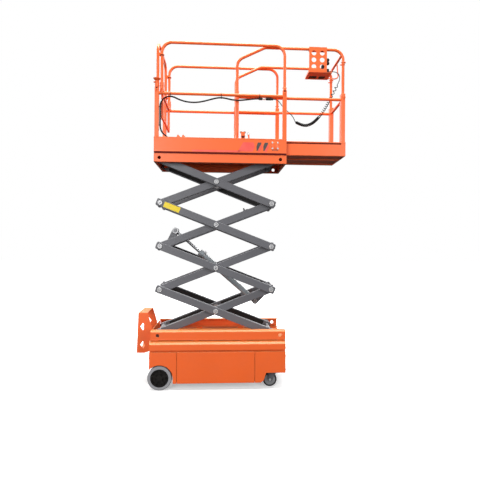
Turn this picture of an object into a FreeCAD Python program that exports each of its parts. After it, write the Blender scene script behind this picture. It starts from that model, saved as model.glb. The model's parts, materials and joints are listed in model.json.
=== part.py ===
import FreeCAD, Part
import math
import os

# A small self-propelled scissor lift, in millimetres.
# X runs along the machine to the end that the deck rolls out over, Y across it, Z up from the floor.
# The origin is on the floor, at the middle of the machine's length and width.

# Scissor
ARM_LENGTH = 1074.5
STAGES = 4
REST_ANGLE = 21.25
LOW_ANGLE = 5.0
ARM_DEPTH = 66.0
ARM_WALL = 5.0
ARM_END = 35.0
ARM_CHAMFER = 8.0
ARM_SET_IN = 140.0
OUTER_ARM_WIDTH = 40.0
INNER_ARM_WIDTH = 42.0
ARM_GAP = 8.0
PIN_RADIUS = 15.0
PIN_CLEARANCE = 0.05
BOSS_RADIUS = 24.0
HEAD_RADIUS = 21.0
HEAD_THICK = 7.0
RUNNING_GAP = 0.5

# Chassis
CHASSIS_LENGTH = 1190.0
CHASSIS_HALF_WIDTH = 380.0
CHASSIS_BOTTOM = 59.0
FRONT_FLOOR = 144.0
FRONT_CORNER = 217.0
CORNER_RUN = 47.0
CORNER_BREAK = (26.0, 22.0)
COVER_TOP = 331.0
BAND_BOTTOM = 346.0
BAND_TOP = 398.0
SHELL_TOP = 424.0
SHELL_SHOULDER = 28.0
COVER_DEPTH = 12.0
COVER_SEAMS = (237.5, 919.0)
SEAM_WIDTH = 3.0
FRAME_SET_IN = 32.0
SHEET = 4.0
PLATE = 8.0
FLOOR_LIFT = 6.0
ARCH_GAP = 10.0

# Fixed pivots of the scissor on the chassis and under the deck
PIVOT_INSET = 70.0
PIVOT_ABOVE_SHELL = 50.0
EAR_SIDE_GAP = 8.0
EAR_PLATE = 12.0
EAR_REACH = 40.0
EAR_TOP = 32.0
EAR_SHOULDER = 20.0
EAR_STUB = 20.0
DECK_EAR_GAP = 6.0
DECK_EAR_PLATE = 10.0
DECK_EAR_REACH = (38.0, 60.0)
DECK_EAR_HALF = 26.0

# Guide rails for the lower rollers
RAIL_SET_IN = 15.0
RAIL_FLANGE = 65.0
RAIL_WALL = 6.0
RAIL_ABOVE_PIVOT = 43.0
RAIL_ROUND = 12.0
RAIL_END_INSET = 8.0
CROSS_PLATE = 6.0
ROLLER_RADIUS = 35.0
ROLLER_WIDTH = 40.0
ROLLER_SIDE_GAP = 4.0
RAIL_HOLE_RADIUS = 15.0
TAB_WIDTH = 52.0
TAB_REAR_PLACES = (24.0, 379.0)
TAB_FRONT_PLACES = (348.0, 15.0)

# Batteries and drive
BATTERY_GAP = (35.0, 43.0)
BATTERY_SIDE_GAP = 90.0
BATTERY_HEIGHT = 170.0
MOTOR_RADIUS = 58.0
MOTOR_LENGTH = 169.0
MOTOR_GAP = 14.0
AXLE_RADIUS = 20.0
AXLE_INSET = 12.0
HANGER_HALF = 45.0
HANGER_PLATE = 12.0
HANGER_GAP = 77.0

# Drive wheels and casters
WHEEL_RADIUS = 105.0
WHEEL_WIDTH = 72.0
WHEEL_SET_IN = 5.0
WHEEL_INSET = 89.0
TYRE_DEPTH = 26.0
TYRE_ROUND = 9.0
HUB_INSET = 4.0
DISH_DEPTH = 18.0
DISH_RIM = 12.0
CASTER_RADIUS = 62.5
CASTER_WIDTH = 40.0
CASTER_INSET = 96.0
CASTER_SET_IN = 110.0
CASTER_TRAIL = 34.0
CASTER_TYRE = 14.0
CASTER_ROUND = 6.0
FORK_GAP = 3.0
FORK_SHEET = 5.0
FORK_TOP = 7.0
FORK_REACH = (22.0, 26.0)
FORK_FOOT = (16.0, 14.0)
SWIVEL_RADIUS = 28.0
SWIVEL_HEIGHT = 8.7
SWIVEL_GAP = 0.3
CASTER_AXLE = 6.0

# Ladder
LADDER_REACH = 138.0
LADDER_HALF_WIDTH = 183.0
LADDER_TOP = 650.0
LADDER_BOTTOM = 287.0
LADDER_SHEET = 5.0
LADDER_TOP_INSET = 13.0
LADDER_STEP = 82.0
LADDER_SHOULDER = 129.0
LADDER_TAB = (20.0, 12.0)
LADDER_FOOT = 71.0
LADDER_HOLE = 24.0
LADDER_HOLE_INSET = 55.0
LADDER_HOLE_DROP = 125.0
LADDER_HOLE_RISE = 74.0

# Platform
PLATFORM_LENGTH = 1173.0
PLATFORM_SET_IN = 60.0
PLATFORM_INSET = 48.0
SKIRT_BELOW = 36.0
SKIRT_ABOVE = 38.0
SKIRT_WALL = 4.0
SIDE_FLANGE = 46.0
END_FLANGE = 18.0
DECK_THICK = 4.0
DECK_LIFT = 6.0
DECK_EDGE = 16.0
TOE_GAP = 9.0
TOE_HEIGHT = 134.0
TOE_SHEET = 4.0

# Guard rails
POST_SIZE = 36.0
POST_SET_IN = 20.0
POST_TOP = 584.0
RAIL_TUBE = 13.5
MID_RAIL = 534.0
TOP_RAIL = 985.0
BEND_RADIUS = 90.0
SIDE_LEG_INSET = 66.0
REAR_POST_INSET = 22.0
REAR_FRAME_OFFSET = 8.0
FRONT_POST_INSET = 18.0
SOCKET_HEIGHT = 64.0
SOCKET_RADIUS = 18.0
CLAMP_AT = 860.0
CLAMP_HEIGHT = 30.0
CLAMP_PLATE = 10.0

# Roll-out deck
EXTENSION_OUT = 547.0
EXTENSION_LENGTH = 1017.0
EXTENSION_SET_IN = 48.0
EXTENSION_LIFT = 9.0
SLIDE_GAP = 3.0
EXTENSION_SHEET = 4.0
EXTENSION_TOE = 123.0
EXTENSION_MID_RAIL = 508.0
EXTENSION_POST_INSET = 28.0
EXTENSION_LEG_WALL = 3.0
SLANT_START = 863.0
SLANT_RUN = 250.0
FRONT_POST_DEPTH = 66.0
FRONT_BAR = 12.0
FRONT_BAR_ANGLE = 30.0
RIB_HALF_WIDTH = 45.0
SIDE_RIB_INSET = 25.0
SIDE_RIB_HALF_WIDTH = 20.0

# Entry gate, whose sleeves slide up the rear legs of the side frames
GATE_SET_IN = 40.0
GATE_TUBE = 12.5
GATE_BAR = 11.5
GATE_DROP = 210.0
SLEEVE_HEIGHT = 30.0
SLEEVE_GAP = 0.3
SLEEVE_LINK = 12.0

# Deck lock and brackets behind the near toe board
LOCK_WIDTH = 35.0
LOCK_HEIGHT = 62.0
LOCK_PLACE = 765.0
LOCK_PLATE = 6.0
BRACKET_PLACES = (200.0, 245.0)
BRACKET_SIZE = (28.0, 26.0)

# Hand controller and its holder
HOLDER_PLACE = (338.0, 175.0)
HOLDER_HEIGHT = 230.0
HOLDER_SHEET = 3.0
HOLDER_HOLE = 21.5
HOLDER_PITCH = (76.0, 62.0)
HOLDER_HOLE_DROP = 55.0
TRAY_REACH = (4.0, 48.0)
TRAY_DEPTH = 200.0
TRAY_LIP = 18.0
TRAY_WINDOWS = ((26.0, 97.0), (118.0, 179.0))
TRAY_WINDOW_DEPTH = (105.0, 188.0)
CONTROLLER_INSET = (12.0, -25.0)
CONTROLLER_GAP = 15.0
CONTROLLER_DEPTH = 130.0
CONTROLLER_HEIGHT = 60.0
STICK_RADIUS = 14.0
STICK_HEIGHT = 40.0
STICK_INSET = 38.0

# Cables on the near side
CABLE_RADIUS = 7.0
LEAD_RADIUS = 3.5
COIL_RADIUS = 13.0
CORD_ARC_SHARE = 0.45
CLIP_WIDTH = 6.0
CLIP_WALL = 2.0
CLIP_GAP = 0.8
GLAND_RADIUS = 11.0
JOINT_RADIUS = 10.0
JOINT_LENGTH = 34.0
POST_CLIPS = (5, 8)
RAIL_CLIPS = (11, 18, 23)

# Lift cylinder
BARREL_RADIUS = 27.0
ROD_RADIUS = 13.0
ROD_GAP = 0.3
BARREL_LENGTH = 700.0
BORE_START = 90.0
ROD_START = 290.0
GLAND_LENGTH = 40.0
GLAND_WALL = 4.0
EYE_RADIUS = 28.0
EYE_HALF_WIDTH = 26.0
EYE_JOIN = 6.0
EAR_THICK = 10.0
EAR_GAP = 6.0
CYLINDER_PIN = 12.5
PIN_COLLAR = (6.0, 5.0)
LOWER_EYE = (906.0, -70.0)
UPPER_EYE = (163.0, 92.0)
LOWER_TUBE = (1010.0, -20.0)
UPPER_TUBE = (75.0, 10.0)
BRACKET_TUBE_RADIUS = 20.0

# Worked out from the sizes above
SWING = math.radians(REST_ANGLE)
SPAN = ARM_LENGTH * math.cos(SWING)
RISE = ARM_LENGTH * math.sin(SWING)
LONG_SPAN = ARM_LENGTH * math.cos(math.radians(LOW_ANGLE))
REAR_REACH = PIVOT_INSET + LADDER_REACH
FRONT_REACH = PLATFORM_LENGTH - PLATFORM_INSET + EXTENSION_OUT
PIVOT_X = (REAR_REACH - FRONT_REACH) / 2
PIVOT_HEIGHT = SHELL_TOP + PIVOT_ABOVE_SHELL
CHASSIS_REAR = PIVOT_X - PIVOT_INSET
CHASSIS_FRONT = CHASSIS_REAR + CHASSIS_LENGTH
OUTER_FACE = CHASSIS_HALF_WIDTH - ARM_SET_IN
OUTER_ARM = (OUTER_FACE - OUTER_ARM_WIDTH, OUTER_FACE)
INNER_FACE = OUTER_ARM[0] - ARM_GAP
INNER_ARM = (INNER_FACE - INNER_ARM_WIDTH, INNER_FACE)
FRAME_HALF_WIDTH = CHASSIS_HALF_WIDTH - FRAME_SET_IN
RAIL_HALF_WIDTH = CHASSIS_HALF_WIDTH - RAIL_SET_IN
RAIL_TOP = PIVOT_HEIGHT + RAIL_ABOVE_PIVOT
WHEEL_FACE = CHASSIS_HALF_WIDTH - WHEEL_SET_IN
WHEEL_X = CHASSIS_REAR + WHEEL_INSET
ARCH_RADIUS = WHEEL_RADIUS + ARCH_GAP
REAR_FLOOR = WHEEL_RADIUS + ARCH_RADIUS + FLOOR_LIFT
TRAY = (WHEEL_X + ARCH_RADIUS, CHASSIS_FRONT - FRONT_CORNER)
SWIVEL_X = CHASSIS_FRONT - CASTER_INSET
CASTER_X = SWIVEL_X - CASTER_TRAIL
CASTER_HALF_TRACK = CHASSIS_HALF_WIDTH - CASTER_SET_IN
PLATFORM_PIVOT = PIVOT_HEIGHT + STAGES * RISE
PLATFORM_HALF_WIDTH = CHASSIS_HALF_WIDTH - PLATFORM_SET_IN
PLATFORM_REAR = PIVOT_X - PLATFORM_INSET
PLATFORM_FRONT = PLATFORM_REAR + PLATFORM_LENGTH
SKIRT_BOTTOM = PLATFORM_PIVOT - SKIRT_BELOW
SKIRT_TOP = PLATFORM_PIVOT + SKIRT_ABOVE
DECK_TOP = SKIRT_TOP + DECK_LIFT + DECK_THICK
POST_LINE = PLATFORM_HALF_WIDTH - POST_SET_IN
TOE_TOP = SKIRT_TOP + TOE_GAP + TOE_HEIGHT
GATE_HALF_WIDTH = POST_LINE - GATE_SET_IN
EXTENSION_LINE = POST_LINE - EXTENSION_SET_IN
EXTENSION_HALF_WIDTH = EXTENSION_LINE + POST_SIZE / 2
EXTENSION_FRONT = PLATFORM_FRONT + EXTENSION_OUT
EXTENSION_REAR = EXTENSION_FRONT - EXTENSION_LENGTH
EXTENSION_DECK = DECK_TOP + EXTENSION_LIFT
EXTENSION_RAIL_Z = EXTENSION_DECK + EXTENSION_SHEET + EXTENSION_MID_RAIL
EXTENSION_POST_X = EXTENSION_FRONT - POST_SIZE / 2 - TOE_SHEET
HOLDER_TOP = SKIRT_TOP + TOP_RAIL + RAIL_TUBE + HOLDER_SHEET
SIDES = (("left", 1), ("right", -1))

X_AXIS = FreeCAD.Vector(1, 0, 0)
Y_AXIS = FreeCAD.Vector(0, 1, 0)
Z_AXIS = FreeCAD.Vector(0, 0, 1)


def box(x, y, z):
    """A block between the two ends given along each axis."""
    low = FreeCAD.Vector(min(x), min(y), min(z))
    return Part.makeBox(abs(x[1] - x[0]), abs(y[1] - y[0]), abs(z[1] - z[0]), low)


def rod_along(axis, radius, centre, start, end):
    """A round bar along one axis, between two places on it; centre gives the other two."""
    point = FreeCAD.Vector(*centre) + axis * start
    return Part.makeCylinder(radius, end - start, point, axis)


def across(radius, x, z, y):
    """A round bar across the machine, from y[0] to y[1]."""
    return rod_along(Y_AXIS, radius, (x, 0, z), min(y), max(y))


def plate(points, y):
    """An upright plate whose outline is given in X and Z."""
    corners = [FreeCAD.Vector(x, min(y), z) for x, z in points]
    face = Part.Face(Part.makePolygon(corners + corners[:1]))
    return face.extrude(Y_AXIS * abs(y[1] - y[0]))


def section_along_x(points, x):
    """A bar along the machine whose section is given in Y and Z."""
    corners = [FreeCAD.Vector(x[0], y, z) for y, z in points]
    face = Part.Face(Part.makePolygon(corners + corners[:1]))
    return face.extrude(X_AXIS * (x[1] - x[0]))


def fuse(shapes):
    """One solid from several that touch."""
    return shapes[0].multiFuse(shapes[1:]).removeSplitter()


def mirrored(shape):
    """The same piece on the other side of the machine."""
    return shape.mirror(FreeCAD.Vector(0, 0, 0), Y_AXIS)


def pair(shape):
    """A piece on the left side and its mirror image on the right."""
    return [shape, mirrored(shape)]


def bent_path(points, reach_at):
    """Straight runs through the points; at each corner an arc that starts at the reach from it."""
    edges = []
    corners = [FreeCAD.Vector(*point) for point in points]
    start = corners[0]
    for before, corner, after in zip(corners, corners[1:], corners[2:]):
        shorter = min((before - corner).Length, (after - corner).Length)
        back = (before - corner).normalize()
        ahead = (after - corner).normalize()
        half = back.getAngle(ahead) / 2
        reach = reach_at(half, shorter)
        radius = reach * math.tan(half)
        middle = corner + (back + ahead).normalize() * (radius / math.sin(half) - radius)
        enter = corner + back * reach
        leave = corner + ahead * reach
        edges.append(Part.LineSegment(start, enter).toShape())
        edges.append(Part.Arc(enter, middle, leave).toShape())
        start = leave
    edges.append(Part.LineSegment(start, corners[-1]).toShape())
    return Part.Wire(edges)


def swept(path, points, radius):
    """A round bar along a path that starts at the first point."""
    start = FreeCAD.Vector(*points[0])
    ahead = (FreeCAD.Vector(*points[1]) - start).normalize()
    ring = Part.Wire([Part.makeCircle(radius, start, ahead)])
    return path.makePipeShell([ring], True, True)


def bent_bar(points, bend, radius):
    """A tube bent to one radius at every corner."""
    path = bent_path(points, lambda half, shorter: bend / math.tan(half))
    return swept(path, points, radius)


def cord_tube(name, points, radius):
    """A cord along its route, with arcs as large as the runs beside them allow."""
    path = bent_path(points, lambda half, shorter: CORD_ARC_SHARE * shorter)
    arcs = [edge.Curve.Radius for edge in path.Edges if hasattr(edge.Curve, "Radius")]
    tube = swept(path, points, radius)
    full = math.pi * radius ** 2 * path.Length
    print("%s: length %.0f mm, tightest bend %.0f mm, volume share %.4f"
          % (name, path.Length, min(arcs), tube.Volume / full))
    return tube


def straight_bar(start, end, radius):
    """A round bar from one point to another."""
    first = FreeCAD.Vector(*start)
    run = FreeCAD.Vector(*end) - first
    return Part.makeCylinder(radius, run.Length, first, run)


def save(node, shapes):
    """Write one node's solids to its own file."""
    solids = shapes if isinstance(shapes, list) else [shapes]
    whole = solids[0] if len(solids) == 1 else Part.makeCompound(solids)
    whole.exportStep(os.path.join("parts", node + ".step"))


def placed(shape, stage, leans_left):
    """Turn an arm's piece from lying along X to its place in the scissor."""
    base = PIVOT_HEIGHT + (stage - 1) * RISE
    turned = shape.copy()
    angle = 180 - REST_ANGLE if leans_left else REST_ANGLE
    turned.rotate(FreeCAD.Vector(0, 0, 0), Y_AXIS, -angle)
    turned.translate(FreeCAD.Vector(PIVOT_X + (SPAN if leans_left else 0), 0, base))
    return turned


def arm(y):
    """A hollow box arm along X with a boss at each end and one in the middle."""
    low, high = -ARM_DEPTH / 2, ARM_DEPTH / 2
    length = (-ARM_END, ARM_LENGTH + ARM_END)
    inside = (y[0] + ARM_WALL, y[1] - ARM_WALL)
    cut = ARM_CHAMFER
    outline = [
        (length[0], low + cut), (length[0] + cut, low), (length[1] - cut, low), (length[1], low + cut),
        (length[1], high - cut), (length[1] - cut, high), (length[0] + cut, high), (length[0], high - cut),
    ]
    tube = plate(outline, y).cut(box(length, inside, (low + ARM_WALL, high - ARM_WALL)))
    bosses = [across(BOSS_RADIUS, x, 0, y) for x in (0, ARM_LENGTH / 2, ARM_LENGTH)]
    return fuse([tube] + bosses)


def link_plate(first, second, radius, y):
    """A plate with round ends about two points, its sides touching both rounds."""
    run = FreeCAD.Vector(second[0] - first[0], 0, second[1] - first[1])
    side = run.cross(Y_AXIS).normalize() * radius
    corners = [
        FreeCAD.Vector(first[0], y[0], first[1]) + side,
        FreeCAD.Vector(second[0], y[0], second[1]) + side,
        FreeCAD.Vector(second[0], y[0], second[1]) - side,
        FreeCAD.Vector(first[0], y[0], first[1]) - side,
    ]
    web = Part.Face(Part.makePolygon(corners + corners[:1])).extrude(Y_AXIS * (y[1] - y[0]))
    ends = [across(radius, point[0], point[1], y) for point in (first, second)]
    return fuse([web] + ends)


def inner_frame(stage):
    """Two inner arms, and between them the sleeves that the outer frames' shafts pass through."""
    bore = PIN_RADIUS + PIN_CLEARANCE
    pieces = []
    for shape in pair(arm(INNER_ARM)):
        for x in (0, ARM_LENGTH / 2, ARM_LENGTH):
            shape = shape.cut(across(bore, x, 0, (-OUTER_ARM[1], OUTER_ARM[1])))
        pieces.append(shape)
    for x in (0, ARM_LENGTH):
        sleeve = across(BOSS_RADIUS, x, 0, (-INNER_ARM[0], INNER_ARM[0]))
        pieces.append(sleeve.cut(across(bore, x, 0, (-INNER_ARM[0], INNER_ARM[0]))))
    return [placed(piece, stage, False) for piece in pieces]


def outer_frame(stage):
    """Two outer arms, which only their shafts join."""
    arms = []
    for shape in pair(arm(OUTER_ARM)):
        for x in (0, ARM_LENGTH / 2, ARM_LENGTH):
            shape = shape.cut(across(PIN_RADIUS, x, 0, (-OUTER_ARM[1], OUTER_ARM[1])))
        arms.append(placed(shape, stage, True))
    return arms


def outer_pins(stage):
    """End shafts and short middle pins of one outer frame, with their heads."""
    face = OUTER_ARM[1]
    pins = []
    for x in (0, ARM_LENGTH):
        hidden_end = stage == 1 and x == 0 or stage == STAGES and x == ARM_LENGTH
        if hidden_end:
            continue
        shaft = [across(PIN_RADIUS, x, 0, (-face, face))]
        shaft += pair(across(HEAD_RADIUS, x, 0, (face, face + HEAD_THICK)))
        pins.append(fuse(shaft))
    middle = [across(PIN_RADIUS, ARM_LENGTH / 2, 0, (INNER_ARM[0] - HEAD_THICK, face))]
    middle.append(across(HEAD_RADIUS, ARM_LENGTH / 2, 0, (face, face + HEAD_THICK)))
    inner_cap = (INNER_ARM[0] - 2 * HEAD_THICK, INNER_ARM[0] - RUNNING_GAP)
    middle.append(across(HEAD_RADIUS, ARM_LENGTH / 2, 0, inner_cap))
    pins += pair(fuse(middle))
    return [placed(pin, stage, True) for pin in pins]


def chassis_rollers():
    """Shaft through the lower end of the first outer frame, with a roller on each end."""
    x, z = PIVOT_X + SPAN, PIVOT_HEIGHT
    outer_end = RAIL_HALF_WIDTH - RAIL_WALL - ROLLER_SIDE_GAP
    shaft = [across(PIN_RADIUS, x, z, (-outer_end, outer_end))]
    inner_side = outer_end - ROLLER_WIDTH
    shaft += pair(across(ROLLER_RADIUS, x, z, (inner_side, outer_end)))
    shaft += pair(across(HEAD_RADIUS, x, z, (OUTER_ARM[1], OUTER_ARM[1] + HEAD_THICK)))
    return fuse(shaft)


def platform_rollers():
    """Shaft through the upper end of the last inner frame, with a roller on each end."""
    x, z = PIVOT_X + SPAN, PLATFORM_PIVOT
    radius = SKIRT_BELOW - SKIRT_WALL - RUNNING_GAP
    outer_end = PLATFORM_HALF_WIDTH - SKIRT_WALL - ROLLER_SIDE_GAP
    shaft = [across(PIN_RADIUS + PIN_CLEARANCE, x, z, (-outer_end, outer_end))]
    shaft += pair(across(radius, x, z, (outer_end - ROLLER_WIDTH, outer_end)))
    shaft += pair(across(HEAD_RADIUS, x, z, (INNER_ARM[1], INNER_ARM[1] + HEAD_THICK)))
    return fuse(shaft)


def bracket(stage, tube, eye, through_pin):
    """A cross tube between the inner arms with two ears and the pin of a cylinder eye."""
    ear = (EYE_HALF_WIDTH + EAR_GAP, EYE_HALF_WIDTH + EAR_GAP + EAR_THICK)
    pieces = [across(BRACKET_TUBE_RADIUS, tube[0], tube[1], (-INNER_ARM[0], INNER_ARM[0]))]
    pieces += pair(link_plate(tube, eye, EYE_RADIUS, ear))
    collar = (ear[1], ear[1] + PIN_COLLAR[1])
    pieces += pair(across(CYLINDER_PIN + PIN_COLLAR[0], eye[0], eye[1], collar))
    if through_pin:
        pieces.append(across(CYLINDER_PIN, eye[0], eye[1], (-ear[1], ear[1])))
    return placed(fuse(pieces), stage, False)


def eye_place(stage, eye):
    """Where an eye lies on an inner frame, in X and Z."""
    along, above = eye
    x = PIVOT_X + along * math.cos(SWING) - above * math.sin(SWING)
    z = PIVOT_HEIGHT + (stage - 1) * RISE + along * math.sin(SWING) + above * math.cos(SWING)
    return x, z


def cylinder():
    """The barrel with its gland and lower eye, and the rod with its upper eye."""
    foot = eye_place(1, LOWER_EYE)
    head = eye_place(3, UPPER_EYE)
    length = math.hypot(head[0] - foot[0], head[1] - foot[1])
    lean = math.degrees(math.atan2(head[1] - foot[1], head[0] - foot[0]))
    width = (-EYE_HALF_WIDTH, EYE_HALF_WIDTH)
    start = EYE_RADIUS - EYE_JOIN
    gland_start = BARREL_LENGTH - GLAND_LENGTH
    tube = rod_along(X_AXIS, BARREL_RADIUS, (0, 0, 0), start, gland_start)
    gland = rod_along(X_AXIS, BARREL_RADIUS + GLAND_WALL, (0, 0, 0), gland_start, BARREL_LENGTH)
    barrel = fuse([across(EYE_RADIUS, 0, 0, width), tube, gland])
    bore = rod_along(X_AXIS, ROD_RADIUS + ROD_GAP, (0, 0, 0), BORE_START, BARREL_LENGTH)
    barrel = barrel.cut(bore).cut(across(CYLINDER_PIN + PIN_CLEARANCE, 0, 0, width))
    rod = fuse([
        rod_along(X_AXIS, ROD_RADIUS, (0, 0, 0), ROD_START, length - EYE_RADIUS + EYE_JOIN),
        across(EYE_RADIUS, length, 0, width),
    ])
    placed_pieces = []
    for shape in (barrel, rod):
        shape.rotate(FreeCAD.Vector(0, 0, 0), Y_AXIS, -lean)
        shape.translate(FreeCAD.Vector(foot[0], 0, foot[1]))
        placed_pieces.append(shape)
    return placed_pieces


def chassis_shell():
    """The bent top sheet of the chassis, with its bands along both sides."""
    half = CHASSIS_HALF_WIDTH
    inside = half - SHEET
    bend = SHEET / 2
    flat = half - SHELL_SHOULDER
    outline = [
        (half, BAND_BOTTOM), (half, BAND_TOP), (flat, SHELL_TOP),
        (-flat, SHELL_TOP), (-half, BAND_TOP), (-half, BAND_BOTTOM),
        (-inside, BAND_BOTTOM), (-inside, BAND_TOP - bend), (-flat + bend, SHELL_TOP - SHEET),
        (flat - bend, SHELL_TOP - SHEET), (inside, BAND_TOP - bend), (inside, BAND_BOTTOM),
    ]
    return section_along_x(outline, (CHASSIS_REAR, CHASSIS_FRONT))


def chassis_frame():
    """Floors, inner side walls and cross walls of the chassis, welded face to face."""
    wall = (FRAME_HALF_WIDTH - PLATE, FRAME_HALF_WIDTH)
    side = CHASSIS_HALF_WIDTH - COVER_DEPTH
    top = SHELL_TOP - SHEET
    low = CHASSIS_BOTTOM + PLATE
    tray_top = low + PLATE
    front_floor = FRONT_FLOOR + FLOOR_LIFT
    rear_end = CHASSIS_REAR + SHEET
    front_end = CHASSIS_FRONT - SHEET
    step = TRAY[1] - PLATE
    pieces = [
        box(TRAY, (-side, side), (low, tray_top)),
        box((TRAY[0], TRAY[0] + PLATE), (-wall[0], wall[0]), (tray_top, top)),
        box((step, TRAY[1]), (-wall[1], wall[1]), (tray_top, front_floor)),
        box((rear_end, TRAY[0]), (-side, side), (REAR_FLOOR, REAR_FLOOR + PLATE)),
        box((step, front_end), (-side, side), (front_floor, front_floor + PLATE)),
    ]
    pieces += pair(box((rear_end, TRAY[0]), wall, (REAR_FLOOR + PLATE, top)))
    pieces += pair(box((TRAY[0], step), wall, (tray_top, top)))
    pieces += pair(box((step, front_end), wall, (front_floor + PLATE, top)))
    return pieces


def pivot_ears():
    """Ears on the chassis that hold the first inner frame, outside its arms, with their pins."""
    ear_y = (INNER_ARM[1] + EAR_SIDE_GAP, INNER_ARM[1] + EAR_SIDE_GAP + EAR_PLATE)
    shoulder = EAR_REACH * 0.6
    crown = EAR_REACH * 0.2
    outline = [
        (PIVOT_X - EAR_REACH, SHELL_TOP), (PIVOT_X + EAR_REACH, SHELL_TOP),
        (PIVOT_X + shoulder, PIVOT_HEIGHT + EAR_SHOULDER), (PIVOT_X + crown, PIVOT_HEIGHT + EAR_TOP),
        (PIVOT_X - crown, PIVOT_HEIGHT + EAR_TOP), (PIVOT_X - shoulder, PIVOT_HEIGHT + EAR_SHOULDER),
    ]
    head_y = (ear_y[1], ear_y[1] + HEAD_THICK)
    stub = across(PIN_RADIUS, PIVOT_X, PIVOT_HEIGHT, (INNER_ARM[0] - EAR_STUB, head_y[1]))
    head = across(HEAD_RADIUS, PIVOT_X, PIVOT_HEIGHT, head_y)
    return pair(fuse([plate(outline, ear_y), stub, head]))


def side_covers():
    """Lower covers in three lengths a side, with the wheel arch and the raised front corner."""
    outer = CHASSIS_HALF_WIDTH
    through = (outer - 2 * COVER_DEPTH, outer + COVER_DEPTH)
    whole = box((CHASSIS_REAR, CHASSIS_FRONT), (outer - COVER_DEPTH, outer), (CHASSIS_BOTTOM, COVER_TOP))
    arch = across(ARCH_RADIUS, WHEEL_X, WHEEL_RADIUS, through)
    below = box((CHASSIS_REAR - PLATE, TRAY[0]), through, (0, WHEEL_RADIUS))
    corner = plate([
        (TRAY[1], 0), (TRAY[1], CHASSIS_BOTTOM),
        (TRAY[1] + CORNER_BREAK[0], CHASSIS_BOTTOM + CORNER_BREAK[1]),
        (TRAY[1] + CORNER_RUN, FRONT_FLOOR), (CHASSIS_FRONT + PLATE, FRONT_FLOOR),
        (CHASSIS_FRONT + PLATE, 0),
    ], through)
    cover = whole.cut(arch).cut(below).cut(corner)
    for seam in COVER_SEAMS:
        middle = CHASSIS_REAR + seam
        gap = (middle - SEAM_WIDTH / 2, middle + SEAM_WIDTH / 2)
        cover = cover.cut(box(gap, through, (0, COVER_TOP + PLATE)))
    panels = []
    for solid in cover.Solids:
        panels += pair(solid)
    return panels


def end_panels():
    """Sheets that close the chassis at both ends."""
    half = CHASSIS_HALF_WIDTH - SHELL_SHOULDER - SHEET / 2
    top = SHELL_TOP - SHEET
    rear = box((CHASSIS_REAR, CHASSIS_REAR + SHEET), (-half, half), (REAR_FLOOR, top))
    front = box((CHASSIS_FRONT - SHEET, CHASSIS_FRONT), (-half, half), (FRONT_FLOOR, top))
    return [rear, front]


def guide_rails():
    """C-section rails along both sides, open inwards: web, two flanges, short tabs and a cross plate."""
    outer = RAIL_HALF_WIDTH
    inner = outer - RAIL_FLANGE
    web = outer - RAIL_WALL
    bottom = PIVOT_HEIGHT - ROLLER_RADIUS - RUNNING_GAP - RAIL_WALL
    shoulder = RAIL_TOP - RAIL_ROUND
    ceiling = RAIL_TOP - RAIL_WALL
    length = (CHASSIS_REAR + RAIL_END_INSET, CHASSIS_FRONT)
    upright = box(length, (web, outer), (bottom + RAIL_WALL, shoulder))
    for x in (PIVOT_X, PIVOT_X + LONG_SPAN):
        upright = upright.cut(across(RAIL_HOLE_RADIUS, x, PIVOT_HEIGHT, (inner, outer + RAIL_WALL)))
    top_flange = section_along_x([
        (web, shoulder), (outer, shoulder), (outer - RAIL_ROUND, RAIL_TOP), (inner, RAIL_TOP),
        (inner, ceiling), (web - RAIL_ROUND + RAIL_WALL, ceiling),
    ], length)
    pieces = [upright, top_flange, box(length, (inner, outer), (bottom, bottom + RAIL_WALL))]
    starts = [CHASSIS_REAR + place for place in TAB_REAR_PLACES]
    starts += [CHASSIS_FRONT - TAB_WIDTH - place for place in TAB_FRONT_PLACES]
    for start in starts:
        pieces.append(box((start, start + TAB_WIDTH), (inner, web), (SHELL_TOP, bottom)))
    cross = box((length[0], length[0] + CROSS_PLATE), (-inner, inner), (SHELL_TOP, ceiling))
    return pieces + [mirrored(piece) for piece in pieces] + [cross]


def ladder():
    """Side plates with a square hole near each step, and the steps between them."""
    half = LADDER_HALF_WIDTH
    back = CHASSIS_REAR - LADDER_REACH
    step = (back + LADDER_TOP_INSET, back + LADDER_TOP_INSET + LADDER_STEP)
    outline = [
        (step[0], LADDER_TOP), (step[1], LADDER_TOP),
        (CHASSIS_REAR - SHEET, LADDER_TOP - LADDER_SHOULDER), (CHASSIS_REAR, SHELL_TOP - LADDER_TAB[1]),
        (CHASSIS_REAR, COVER_TOP - LADDER_TAB[0]), (back + LADDER_FOOT, LADDER_BOTTOM),
        (back, LADDER_BOTTOM),
    ]
    side = plate(outline, (half - LADDER_SHEET, half))
    hole = LADDER_HOLE
    hole_x = back + LADDER_HOLE_INSET
    for z in (LADDER_TOP - LADDER_HOLE_DROP, LADDER_BOTTOM + LADDER_HOLE_RISE):
        tall = hole * math.sqrt(2)
        diamond = [(hole_x - hole, z), (hole_x, z + tall), (hole_x + hole, z), (hole_x, z - tall)]
        side = side.cut(plate(diamond, (half - 2 * LADDER_SHEET, half + LADDER_SHEET)))
    low = LADDER_BOTTOM + LADDER_SHEET
    steps = [
        box(step, (-half, half), (LADDER_TOP - LADDER_SHEET, LADDER_TOP)),
        box((back + LADDER_SHEET, back + LADDER_FOOT), (-half + LADDER_SHEET / 2, half - LADDER_SHEET / 2),
            (low, low + LADDER_SHEET)),
    ]
    return fuse(pair(side) + steps)


def power_block():
    """Batteries and pump, one plain mass on the chassis floor."""
    low = CHASSIS_BOTTOM + 2 * PLATE
    half = FRAME_HALF_WIDTH - PLATE - BATTERY_SIDE_GAP
    return box((TRAY[0] + BATTERY_GAP[0], TRAY[1] - BATTERY_GAP[1]), (-half, half),
               (low, low + BATTERY_HEIGHT))


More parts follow.
